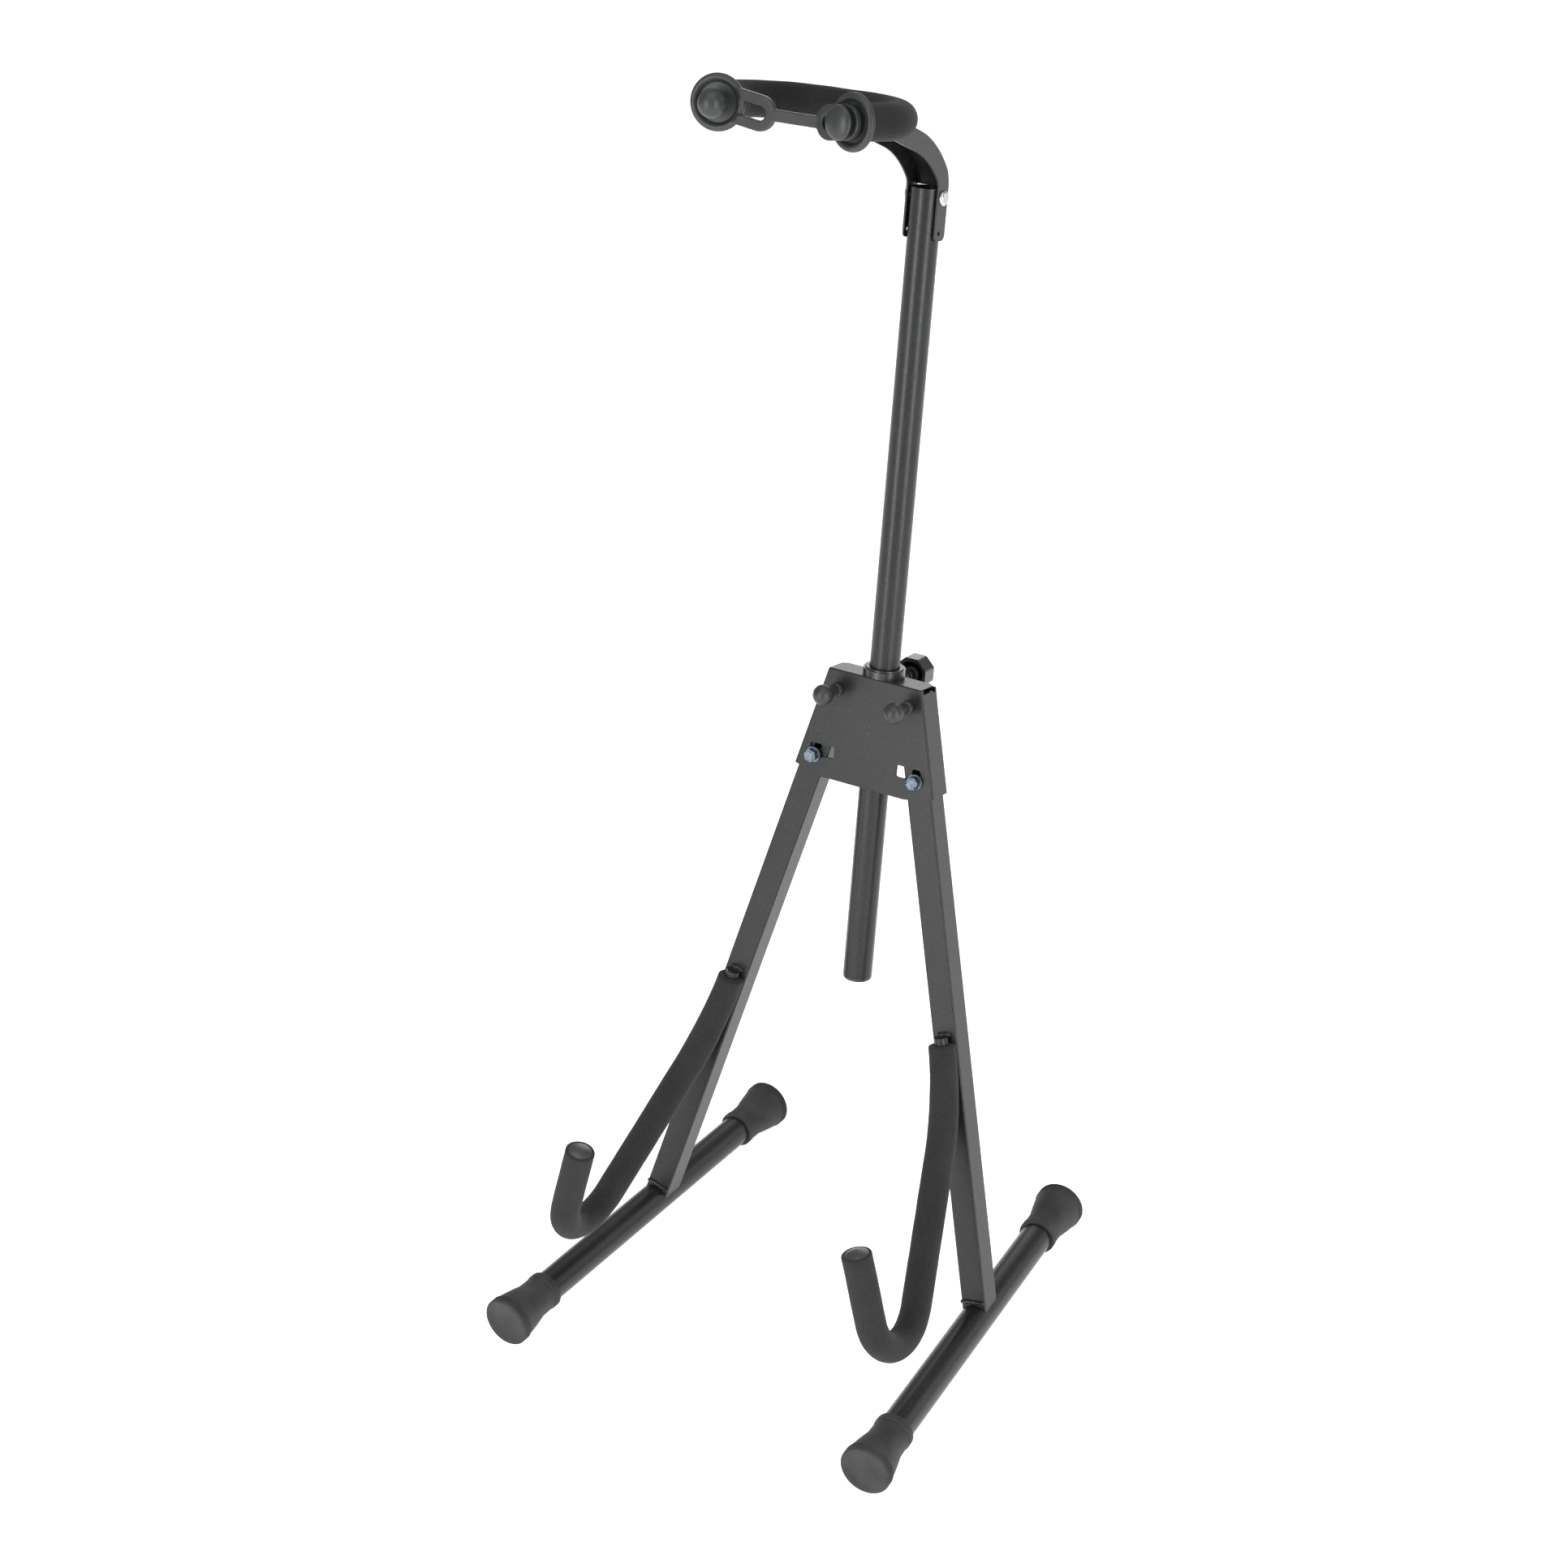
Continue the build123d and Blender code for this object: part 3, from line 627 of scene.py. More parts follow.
def plain_mesh(made: bpy.types.Object) -> bpy.types.Mesh:
    """The evaluated mesh of an object whose modifiers do the work; the object is removed."""
    bpy.context.view_layer.update()
    evaluated = made.evaluated_get(bpy.context.evaluated_depsgraph_get())
    mesh = bpy.data.meshes.new_from_object(evaluated)
    bpy.data.objects.remove(made)
    return mesh


def soften(mesh: bpy.types.Mesh, width_mm: float, coat: Coat, name: str) -> bpy.types.Object:
    """Round every sharp edge of a closed mesh.

    Args:
        mesh: the mesh.
        width_mm: width of the rounding.
        coat: its finish.
        name: the piece's name.

    Returns:
        The finished object.
    """
    mesh.shade_smooth()
    rough = bpy.data.objects.new("rough", mesh)
    bpy.context.scene.collection.objects.link(rough)
    bevel = rough.modifiers.new("edges", "BEVEL")
    bevel.width = width_mm * MM
    bevel.segments = 2
    bevel.limit_method = "ANGLE"
    bevel.angle_limit = math.radians(EASE_FROM)
    bevel.use_clamp_overlap = True
    normals = rough.modifiers.new("normals", "WEIGHTED_NORMAL")
    normals.weight = 100
    return new_object(name, plain_mesh(rough), coat, None)


def node_copy(node: str) -> bpy.types.Mesh:
    """A merged copy of a CAD node's mesh, with its flat faces whole again.

    Args:
        node: the node's name.

    Returns:
        The copy.
    """
    shape = bmesh.new()
    shape.from_mesh(frame["nodes"][node].data)
    bmesh.ops.remove_doubles(shape, verts=shape.verts, dist=CAD_WELD)
    flat = math.radians(FLAT_WITHIN)
    bmesh.ops.dissolve_limit(shape, angle_limit=flat, verts=shape.verts, edges=shape.edges)
    mesh = bpy.data.meshes.new(node + "_copy")
    shape.to_mesh(mesh)
    shape.free()
    return mesh


def hand_over(made: bpy.types.Object, body: str, stands_for: Sequence[str] = ()) -> bpy.types.Object:
    """Give a finished piece its body and what it stands for.

    Args:
        made: the piece.
        body: CAD body that it rides on.
        stands_for: CAD nodes that it replaces.

    Returns:
        The same piece.
    """
    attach(made, body)
    if stands_for:
        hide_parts(*stands_for)
    log.info("%s rides on %s, %d faces", made.name, body, len(made.data.polygons))
    return made


def dress(nodes: Iterable[str], coat: Coat) -> None:
    """Give CAD nodes that stay in view their finish.

    Args:
        nodes: names of the nodes.
        coat: the finish.
    """
    for node in nodes:
        materials = frame["nodes"][node].data.materials
        materials.clear()
        materials.append(coat.value.material())
        log.info("%s keeps its CAD shape, %s", node, coat.name.lower())


def refine(node: str, body: str, coat: Coat, width_mm: float) -> bpy.types.Object:
    """Stand in for a hard CAD node with a copy whose edges are rounded.

    Args:
        node: the node's name.
        body: its body.
        coat: its finish.
        width_mm: width of the rounding.

    Returns:
        The new piece.
    """
    made = soften(node_copy(node), width_mm, coat, node + "_eased")
    return hand_over(made, body, (node,))


def mould(node: str, name: str, coat: Coat, voxel_mm: float, passes: int) -> bpy.types.Object:
    """Stand in for a rubber CAD node with one soft moulding, all of whose edges are rounded.

    Args:
        node: the node's name.
        name: the new piece's name.
        coat: its finish.
        voxel_mm: fineness of the new skin.
        passes: how often it is relaxed.

    Returns:
        The new piece.
    """
    rough = bpy.data.objects.new("rough", node_copy(node))
    bpy.context.scene.collection.objects.link(rough)
    fuse = rough.modifiers.new("fuse", "REMESH")
    fuse.mode = "VOXEL"
    fuse.voxel_size = voxel_mm * MM
    relax = rough.modifiers.new("relax", "SMOOTH")
    relax.factor = 0.5
    relax.iterations = passes
    made = new_object(name, plain_mesh(rough), coat, SOFT_CREASE)
    return hand_over(made, "yoke", (node,))


# ---- shape trees -----------------------------------------------------------


class ShapeTree(Graph):
    """A Geometry Nodes tree with named inputs for its sizes."""

    def __init__(self, name: str, inputs: dict[str, str]) -> None:
        """Args:
            name: the tree's name.
            inputs: input name to its kind: Float, Int, Vector or Rotation.
        """
        super().__init__(bpy.data.node_groups.new(name, "GeometryNodeTree"))
        sockets = self.tree.interface
        sockets.new_socket("Geometry", in_out="INPUT", socket_type="NodeSocketGeometry")
        for title, kind in inputs.items():
            sockets.new_socket(title, in_out="INPUT", socket_type="NodeSocket" + kind)
        sockets.new_socket("Material", in_out="INPUT", socket_type="NodeSocketMaterial")
        sockets.new_socket("Geometry", in_out="OUTPUT", socket_type="NodeSocketGeometry")
        self.entry = self.node("NodeGroupInput")

    def given(self, title: str) -> Wire:
        """One of the tree's inputs."""
        return Wire(self, self.entry.outputs[title])

    def attribute(self, title: str, kind: str = "FLOAT") -> Wire:
        """A named attribute of the geometry."""
        return self.wire("GeometryNodeInputNamedAttribute", {"data_type": kind}, {"Name": title})

    def close(self, geometry: Wire) -> None:
        """End the tree: realize what is instanced and set the finish."""
        real = self.wire("GeometryNodeRealizeInstances", None, {"Geometry": geometry})
        inputs = {"Geometry": real, "Material": self.given("Material")}
        done = self.wire("GeometryNodeSetMaterial", None, inputs)
        self.node("NodeGroupOutput", None, {"Geometry": done})

    def grow(self, name: str, coat: Coat, values: dict[str, Any], base: Optional[bpy.types.Mesh] = None,
             crease: float = 60.0) -> bpy.types.Object:
        """Run the tree once and keep its result as a plain mesh.

        Args:
            name: the piece's name.
            coat: its finish.
            values: input name to value.
            base: mesh that the tree starts from, if it needs one.
            crease: edges sharper than this many degrees stay sharp.

        Returns:
            The finished object.
        """
        seed = bpy.data.objects.new(name + "_seed", base or bpy.data.meshes.new(name + "_seed"))
        bpy.context.scene.collection.objects.link(seed)
        modifier = seed.modifiers.new("shape", "NODES")
        modifier.node_group = self.tree
        filled = {**values, "Material": coat.value.material()}
        for item in self.tree.interface.items_tree:
            if item.in_out == "INPUT" and item.name in filled:
                modifier[item.identifier] = filled[item.name]
        return new_object(name, plain_mesh(seed), coat, crease)


class RingStack(ShapeTree):
    """Thin rings at an even pitch along an axis, as the ribs of a moulded cap."""

    def __init__(self) -> None:
        """Build the tree."""
        kinds = {"Count": "Int", "Pitch": "Float", "First": "Float", "Radius": "Float",
                 "Growth": "Float", "Thickness": "Float", "Place": "Vector", "Turn": "Vector"}
        super().__init__("ring_stack", kinds)
        hoop = self.wire("GeometryNodeCurvePrimitiveCircle", None, {"Resolution": 72, "Radius": 1.0})
        slim = self.given("Thickness") / self.given("Radius")
        wire = self.wire("GeometryNodeCurvePrimitiveCircle", None, {"Resolution": 8, "Radius": slim})
        ring = self.wire("GeometryNodeCurveToMesh", None, {"Curve": hoop, "Profile Curve": wire})
        start = self.wire("ShaderNodeCombineXYZ", None, {"Z": self.given("First")})
        step = self.wire("ShaderNodeCombineXYZ", None, {"Z": self.given("Pitch")})
        line = {"Count": self.given("Count"), "Start Location": start, "Offset": step}
        row = self.wire("GeometryNodeMeshLine", None, line)
        index = self.wire("GeometryNodeInputIndex")
        size = self.given("Radius") + index * self.given("Growth")
        stack = {"Points": row, "Instance": ring, "Scale": size}
        rings = self.wire("GeometryNodeInstanceOnPoints", None, stack)
        placed = {"Geometry": rings, "Translation": self.given("Place"), "Rotation": self.given("Turn")}
        self.close(self.wire("GeometryNodeTransform", None, placed))


class WeldRun(ShapeTree):
    """A weld bead: overlapping puddles along a line, fused into one skin."""

    def __init__(self) -> None:
        """Build the tree."""
        kinds = {"Start": "Vector", "End": "Vector", "Puddles": "Int", "Radius": "Float",
                 "Voxel": "Float", "Seed": "Int"}
        super().__init__("weld_run", kinds)
        ends = {"Start": self.given("Start"), "End": self.given("End")}
        line = self.wire("GeometryNodeCurvePrimitiveLine", None, ends)
        spots = {"Curve": line, "Count": self.given("Puddles")}
        row = self.wire("GeometryNodeResampleCurve", None, spots)
        ball = {"Segments": 20, "Rings": 12, "Radius": self.given("Radius")}
        puddle = self.wire("GeometryNodeMeshUVSphere", None, ball)
        limits = {"Min": (0.78, 0.78, 0.78), "Max": (1.18, 1.18, 1.18), "Seed": self.given("Seed")}
        size = self.wire("FunctionNodeRandomValue", {"data_type": "FLOAT_VECTOR"}, limits)
        stack = {"Points": row, "Instance": puddle, "Scale": size}
        drops = self.wire("GeometryNodeInstanceOnPoints", None, stack)
        real = self.wire("GeometryNodeRealizeInstances", None, {"Geometry": drops})
        solid = {"Mesh": real, "Voxel Size": self.given("Voxel"), "Interior Band Width": 0.002}
        cloud = self.wire("GeometryNodeMeshToVolume", {"resolution_mode": "VOXEL_SIZE"}, solid)
        skin = {"Volume": cloud, "Voxel Size": self.given("Voxel"), "Threshold": 0.1}
        self.close(self.wire("GeometryNodeVolumeToMesh", {"resolution_mode": "VOXEL_SIZE"}, skin))


class ThreadCoil(ShapeTree):
    """The ridge of a screw thread."""

    def __init__(self) -> None:
        """Build the tree."""
        kinds = {"Turns": "Float", "Length": "Float", "Radius": "Float", "Ridge": "Float",
                 "Place": "Vector", "Turn": "Vector"}
        super().__init__("thread_coil", kinds)
        coil = {"Resolution": 28, "Rotations": self.given("Turns"), "Start Radius": self.given("Radius"),
                "End Radius": self.given("Radius"), "Height": self.given("Length")}
        path = self.wire("GeometryNodeCurveSpiral", None, coil)
        form = {"Resolution": 4, "Radius": self.given("Ridge")}
        profile = self.wire("GeometryNodeCurvePrimitiveCircle", None, form)
        sweep = {"Curve": path, "Profile Curve": profile, "Fill Caps": True}
        ridge = self.wire("GeometryNodeCurveToMesh", None, sweep)
        placed = {"Geometry": ridge, "Translation": self.given("Place"), "Rotation": self.given("Turn")}
        self.close(self.wire("GeometryNodeTransform", None, placed))


class SleeveSkin(ShapeTree):
    """A foam sleeve along a line: it swells, creases inside its bends and lies flat where it rests."""

    def __init__(self) -> None:
        """Build the tree; the line's points carry girth, crease, run and inward attributes."""
        kinds = {"Swell": "Float", "Swell Size": "Float", "Crease Depth": "Float",
                 "Crease Pitch": "Float", "Rest Point": "Vector", "Rest Normal": "Vector"}
        super().__init__("sleeve_skin", kinds)
        line = self.wire("GeometryNodeMeshToCurve", None, {"Mesh": self.given("Geometry")})
        sized = {"Curve": line, "Radius": self.attribute("girth")}
        line = self.wire("GeometryNodeSetCurveRadius", None, sized)
        hoop = self.wire("GeometryNodeCurvePrimitiveCircle", None, {"Resolution": 56, "Radius": 1.0})
        sweep = {"Curve": line, "Profile Curve": hoop, "Fill Caps": True}
        node = self.node("GeometryNodeCurveToMesh", None, sweep)
        if "Scale" in node.inputs:
            self.tree.links.new(self.attribute("girth").socket, node.inputs["Scale"])
        skin = Wire(self, node.outputs[0])
        place = self.wire("GeometryNodeInputPosition")
        normal = self.wire("GeometryNodeInputNormal")
        inward = self.attribute("inward", "FLOAT_VECTOR")
        facing = self.vector("DOT_PRODUCT", normal, inward, "Value").at_least(0.0)
        wave = (self.attribute("run") * (2 * math.pi) / self.given("Crease Pitch")).sine() * 0.5 + 0.5
        pinch = self.attribute("crease") * facing ** 2.0 * wave * self.given("Crease Depth")
        blot = {"Vector": place, "Scale": self.given("Swell Size"), "Detail": 2.0}
        lump = (self.wire("ShaderNodeTexNoise", None, blot) - 0.5) * self.given("Swell")
        moved = self.vector("ADD", place, self.vector("SCALE", normal, lump - pinch))
        beyond = self.vector("SUBTRACT", moved, self.given("Rest Point"))
        depth = self.vector("DOT_PRODUCT", beyond, self.given("Rest Normal"), "Value").at_least(0.0)
        back = self.vector("SCALE", self.given("Rest Normal"), depth)
        rested = self.vector("SUBTRACT", moved, back)
        self.close(self.wire("GeometryNodeSetPosition", None, {"Geometry": skin, "Position": rested}))


class Trees:
    """The shape trees, each built once."""

    rings = RingStack()
    weld = WeldRun()
    thread = ThreadCoil()
    sleeve = SleeveSkin()


class Route:
    """A flat centre line of straight runs and arcs, in millimetres."""

    def __init__(self, start: tuple[float, float], heading: float) -> None:
        """Args:
            start: first point.
            heading: first direction in degrees.
        """
        self.start = start
        self.heading = math.radians(heading)
        self.legs: list[tuple[float, float]] = []

    def run(self, length: float) -> "Route":
        """Add a straight run of a length."""
        self.legs.append((length, 0.0))
        return self

    def turn(self, radius: float, degrees: float) -> "Route":
        """Add an arc of a radius through an angle, positive to the left."""
        self.legs.append((radius * math.radians(abs(degrees)), math.copysign(1 / radius, degrees)))
        return self

    @property
    def length(self) -> float:
        """Whole length of the line."""
        return sum(length for length, _ in self.legs)

    def at(self, distance: float) -> tuple[float, float, float, float]:
        """Where the line is after a distance.

        Args:
            distance: millimetres along the line.

        Returns:
            Both coordinates, the direction in radians and the curvature.
        """
        (x, y), heading, bend = self.start, self.heading, 0.0
        for number, (length, bend) in enumerate(self.legs):
            last = number == len(self.legs) - 1
            part = distance if last else min(distance, length)
            if bend:
                x += (math.sin(heading + bend * part) - math.sin(heading)) / bend
                y -= (math.cos(heading + bend * part) - math.cos(heading)) / bend
            else:
                x += part * math.cos(heading)
                y += part * math.sin(heading)
            heading += bend * part
            distance -= part
            if distance <= 0:
                break
        return x, y, heading, bend


@dataclass
class Sleeve:
    """A foam sleeve on a bent rod."""

    name: str
    route: Route
    plane: Matrix
    radius: float
    start: float
    end: float
    end_radius: float = 1.1
    step: float = 1.5
    neck_radius: float = 0.0
    neck_length: float = 1.0
    end_steps: tuple[float, ...] = (0.0, 0.06, 0.2, 0.4, 0.65, 1.0)
    swell: float = 0.55
    swell_size: float = 17.0
    crease: float = 0.3
    crease_gain: float = 3.0
    crease_blend: float = 9.0
    crease_pitch: float = 6.5
    rest_point: Vector = field(default_factory=lambda: Vector((0.0, 0.0, -9.0)))
    rest_normal: Vector = field(default_factory=lambda: Vector((0.0, 0.0, -1.0)))

    def girth(self, distance: float) -> float:
        """Radius of the sleeve after a distance from its start, in millimetres."""
        full = self.radius
        if self.neck_radius:
            ease = min(distance / self.neck_length, 1.0)
            full = self.neck_radius + (self.radius - self.neck_radius) * ease * ease * (3 - 2 * ease)
        margin = min(distance, self.end - self.start - distance, self.end_radius)
        short = 1.0 - margin / self.end_radius
        return full - self.end_radius * (1.0 - math.sqrt(max(0.0, 1.0 - short * short)))

    def line(self) -> bpy.types.Mesh:
        """The centre line as a mesh of edges, with the attributes that the skin reads."""
        span = self.end - self.start
        edge = [self.end_radius * share for share in self.end_steps]
        inner = np.arange(self.end_radius + self.step, span - self.end_radius - self.step / 2, self.step)
        distances = [*edge, *inner, *[span - value for value in reversed(edge)]]
        spots = [self.route.at(self.start + value) for value in distances]
        points = [self.plane @ Vector((x * MM, y * MM, 0.0)) for x, y, _, _ in spots]
        mesh = bpy.data.meshes.new(self.name + "_line")
        mesh.from_pydata(points, [(k, k + 1) for k in range(len(points) - 1)], [])
        bends = np.array([bend for _, _, _, bend in spots])
        width = max(3, int(self.crease_blend / self.step))
        smooth = np.convolve(np.abs(bends) * self.radius, np.ones(width) / width, mode="same")
        turned = self.plane.to_3x3()
        inward = []
        for _, _, heading, bend in spots:
            left = Vector((-math.sin(heading), math.cos(heading), 0.0))
            inward.append(turned @ (left * (1.0 if bend >= 0 else -1.0)))
        columns = {"girth": [self.girth(value) * MM for value in distances],
                   "crease": np.clip(smooth * self.crease_gain, 0.0, 1.0),
                   "run": np.array(distances) * MM}
        for title, values in columns.items():
            mesh.attributes.new(title, "FLOAT", "POINT").data.foreach_set("value", values)
        flat = [part for vector in inward for part in vector]
        mesh.attributes.new("inward", "FLOAT_VECTOR", "POINT").data.foreach_set("vector", flat)
        return mesh

    def build(self, coat: Coat) -> bpy.types.Object:
        """Grow the sleeve.

        Args:
            coat: its finish.

        Returns:
            The finished object.
        """
        values = {"Swell": self.swell * MM, "Swell Size": 1 / (self.swell_size * MM),
                  "Crease Depth": self.crease * MM, "Crease Pitch": self.crease_pitch * MM,
                  "Rest Point": tuple(self.rest_point), "Rest Normal": tuple(self.rest_normal)}
        return Trees.sleeve.grow(self.name, coat, values, self.line(), crease=50.0)


# ---- places ----------------------------------------------------------------


class Places:
    """The stand's local frames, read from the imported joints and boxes."""

    def __init__(self) -> None:
        """Work out the frames."""
        self.joints = {joint["name"]: joint for joint in frame["joints"]}
        self.back = self.axis("leg_fold_right")
        self.mast_up = self.axis("mast_height")
        self.mast_back = self.mast_up.cross(ACROSS).normalized()
        self.hinge = self.spot("yoke_fold")

    def axis(self, joint: str) -> Vector:
        """A joint's axis."""
        return Vector(self.joints[joint]["axis"]).normalized()

    def spot(self, joint: str) -> Vector:
        """A joint's position."""
        return Vector(self.joints[joint]["pos_m"])

    def leg(self, side: Side) -> Matrix:
        """A leg's frame: at its pivot, third axis up the leg, second toward the back."""
        up = self.axis("lock_lift_" + side.word)
        return turned_frame(self.spot("leg_fold_" + side.word), self.back, up)

    def foot(self, side: Side, toe: float) -> Matrix:
        """A foot's frame: at the middle of its tube, third axis along the tube toward the front.

        Args:
            side: which foot.
            toe: degrees that its front points outward.

        Returns:
            A 4x4 matrix.
        """
        low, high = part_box("foot_tube_" + side.word)
        angle = math.radians(toe)
        ahead = Vector((side.value * math.sin(angle), -math.cos(angle), 0.0))
        return turned_frame((low + high) / 2, UP, ahead)

    def mast(self, drop: float) -> Matrix:
        """The upright's frame, at its top.

        Args:
            drop: height of the top above the yoke's hinge.

        Returns:
            A 4x4 matrix.
        """
        return turned_frame(self.hinge + self.mast_up * drop, self.mast_back, self.mast_up)

    def plate(self, side: Side) -> Matrix:
        """Frame of a ball bumper: at the leg's pivot, third axis out of the front sheet."""
        return turned_frame(self.spot("leg_fold_" + side.word), ACROSS.cross(self.back), -self.back)


def seat(place: Matrix) -> dict[str, Any]:
    """A frame as the place and the turn that a shape tree takes."""
    return {"Place": tuple(place.translation), "Turn": tuple(place.to_euler("XYZ"))}


# ---- sub-assemblies --------------------------------------------------------


@dataclass
class Head:
    """The housing that joins legs and upright, with its studs, nuts and ball bumpers."""

    places: Places
    edge: float = 0.35
    ball_radius: float = 7.0
    ball_out: float = 29.8
    neck_radius: float = 3.6
    base_radius: float = 4.7
    sheet_out: float = 10.9
    base_height: float = 3.0
    base_round: float = 0.9
    base_edge: float = 0.3
    neck_round: float = 0.8
    neck_sink: float = 0.5
    bush_edge: float = 0.25

    def bumper(self, side: Side) -> None:
        """A ball bumper: foot ring, waisted neck and ball, turned in one piece."""
        floor, top = self.sheet_out, self.ball_out
        base, bend, fillet = self.base_radius, self.base_round, self.neck_round
        waist = math.degrees(math.asin((self.neck_radius + self.neck_sink) / self.ball_radius))
        profile: Profile = [(0.0, floor), (base - self.base_edge, floor), (base, floor + self.base_edge)]
        profile += arc((base - bend, floor + self.base_height - bend), bend, 0, 90, 6)
        corner = (self.neck_radius + fillet, floor + self.base_height + fillet)
        profile += arc(corner, fillet, -90, -180, 6)
        profile += arc((0.0, top), self.ball_radius, waist - 90, 90, 26)
        shape = bmesh.new()
        add_lathe(shape, profile, self.places.plate(side), 56)
        made = new_object("bumper_" + side.word, mesh_of(shape), Coat.BUMPER_RUBBER)
        hand_over(made, "head", ("ball_bumper_" + side.word,))

    def build(self) -> None:
        """Make the pieces whose edges or shape are finer than their CAD nodes."""
        for node in ("front_housing", "rear_plate", "lower_guide", "clamp_boss"):
            refine(node, "head", Coat.POWDER, self.edge)
        refine("collar_bush", "head", Coat.PLASTIC, self.bush_edge)
        for side in Side:
            self.bumper(side)
            refine("pivot_nut_" + side.word, "head", Coat.DARK, self.edge)

    def dress(self) -> None:
        """Finish the nodes that stay."""
        dress(("pivot_stud_right", "pivot_stud_left"), Coat.DARK)


@dataclass
class FootCap:
    """A bell-shaped rubber cap with fine ribs round its wide end."""

    name: str
    body: str
    node: str
    place: Matrix
    rim: float = 17.2
    rim_length: float = 6.5
    length: float = 44.5
    sleeve: float = 12.9
    sleeve_length: float = 17.0
    bore: float = 11.15
    floor: float = 5.0
    lip: float = 0.55
    lip_length: float = 5.0
    lip_round: float = 0.7
    lip_step: float = 0.6
    lip_rise: float = 0.1
    tread_edge: float = 4.4
    tread_round: float = 1.1
    tread_step: float = 0.6
    tread_sink: float = 0.35
    taper: float = 0.95
    belly: float = 0.06
    ribs: int = 5
    rib_pitch: float = 1.25
    rib_first: float = 1.5
    rib_thick: float = 0.42
    rib_stand: float = 0.02

    def profile(self) -> Profile:
        """The outline from the middle of the wide end to the bottom of the bore."""
        sink, bend = self.tread_sink, self.tread_round
        points: Profile = [(0.0, sink), (self.rim - self.tread_edge, sink)]
        points += [(self.rim - self.tread_edge + self.tread_step, 0.0)]
        points += arc((self.rim - bend, bend), bend, -90, 0, 6)
        points += [(self.rim, self.rim_length)]
        bell = self.length - self.sleeve_length - self.rim_length
        for k in range(1, 15):
            share = k / 14
            ease = self.taper * share - self.belly * math.sin(math.pi * share)
            points.append((self.rim + (self.sleeve - self.rim) * ease, self.rim_length + bell * share))
        lip, low = self.sleeve + self.lip, self.length - self.lip_length
        high = self.length - self.lip_round
        points += [(self.sleeve, low - self.lip_step), (lip, low + self.lip_rise), (lip, high)]
        points += arc((lip - self.lip_round, high), self.lip_round, 20, 90, 4)
        points += [(self.bore, self.length), (self.bore, self.floor), (0.0, self.floor)]
        return points

    def build(self) -> None:
        """Turn the cap, add its ribs and press both flat on the floor."""
        shape = bmesh.new()
        add_lathe(shape, self.profile(), self.place, 96)
        cap = new_object(self.name, mesh_of(shape), Coat.FOOT_RUBBER)
        values = {"Count": self.ribs, "Pitch": self.rib_pitch * MM, "First": self.rib_first * MM,
                  "Radius": (self.rim + self.rib_stand) * MM, "Growth": 0.0,
                  "Thickness": self.rib_thick * MM,
                  **seat(self.place)}
        ribs = Trees.rings.grow(self.name + "_ribs", Coat.FOOT_RUBBER, values)
        for made in (cap, ribs):
            for vertex in made.data.vertices:
                vertex.co.z = max(vertex.co.z, 0.0)
        hand_over(cap, self.body, (self.node,))
        hand_over(ribs, self.body)


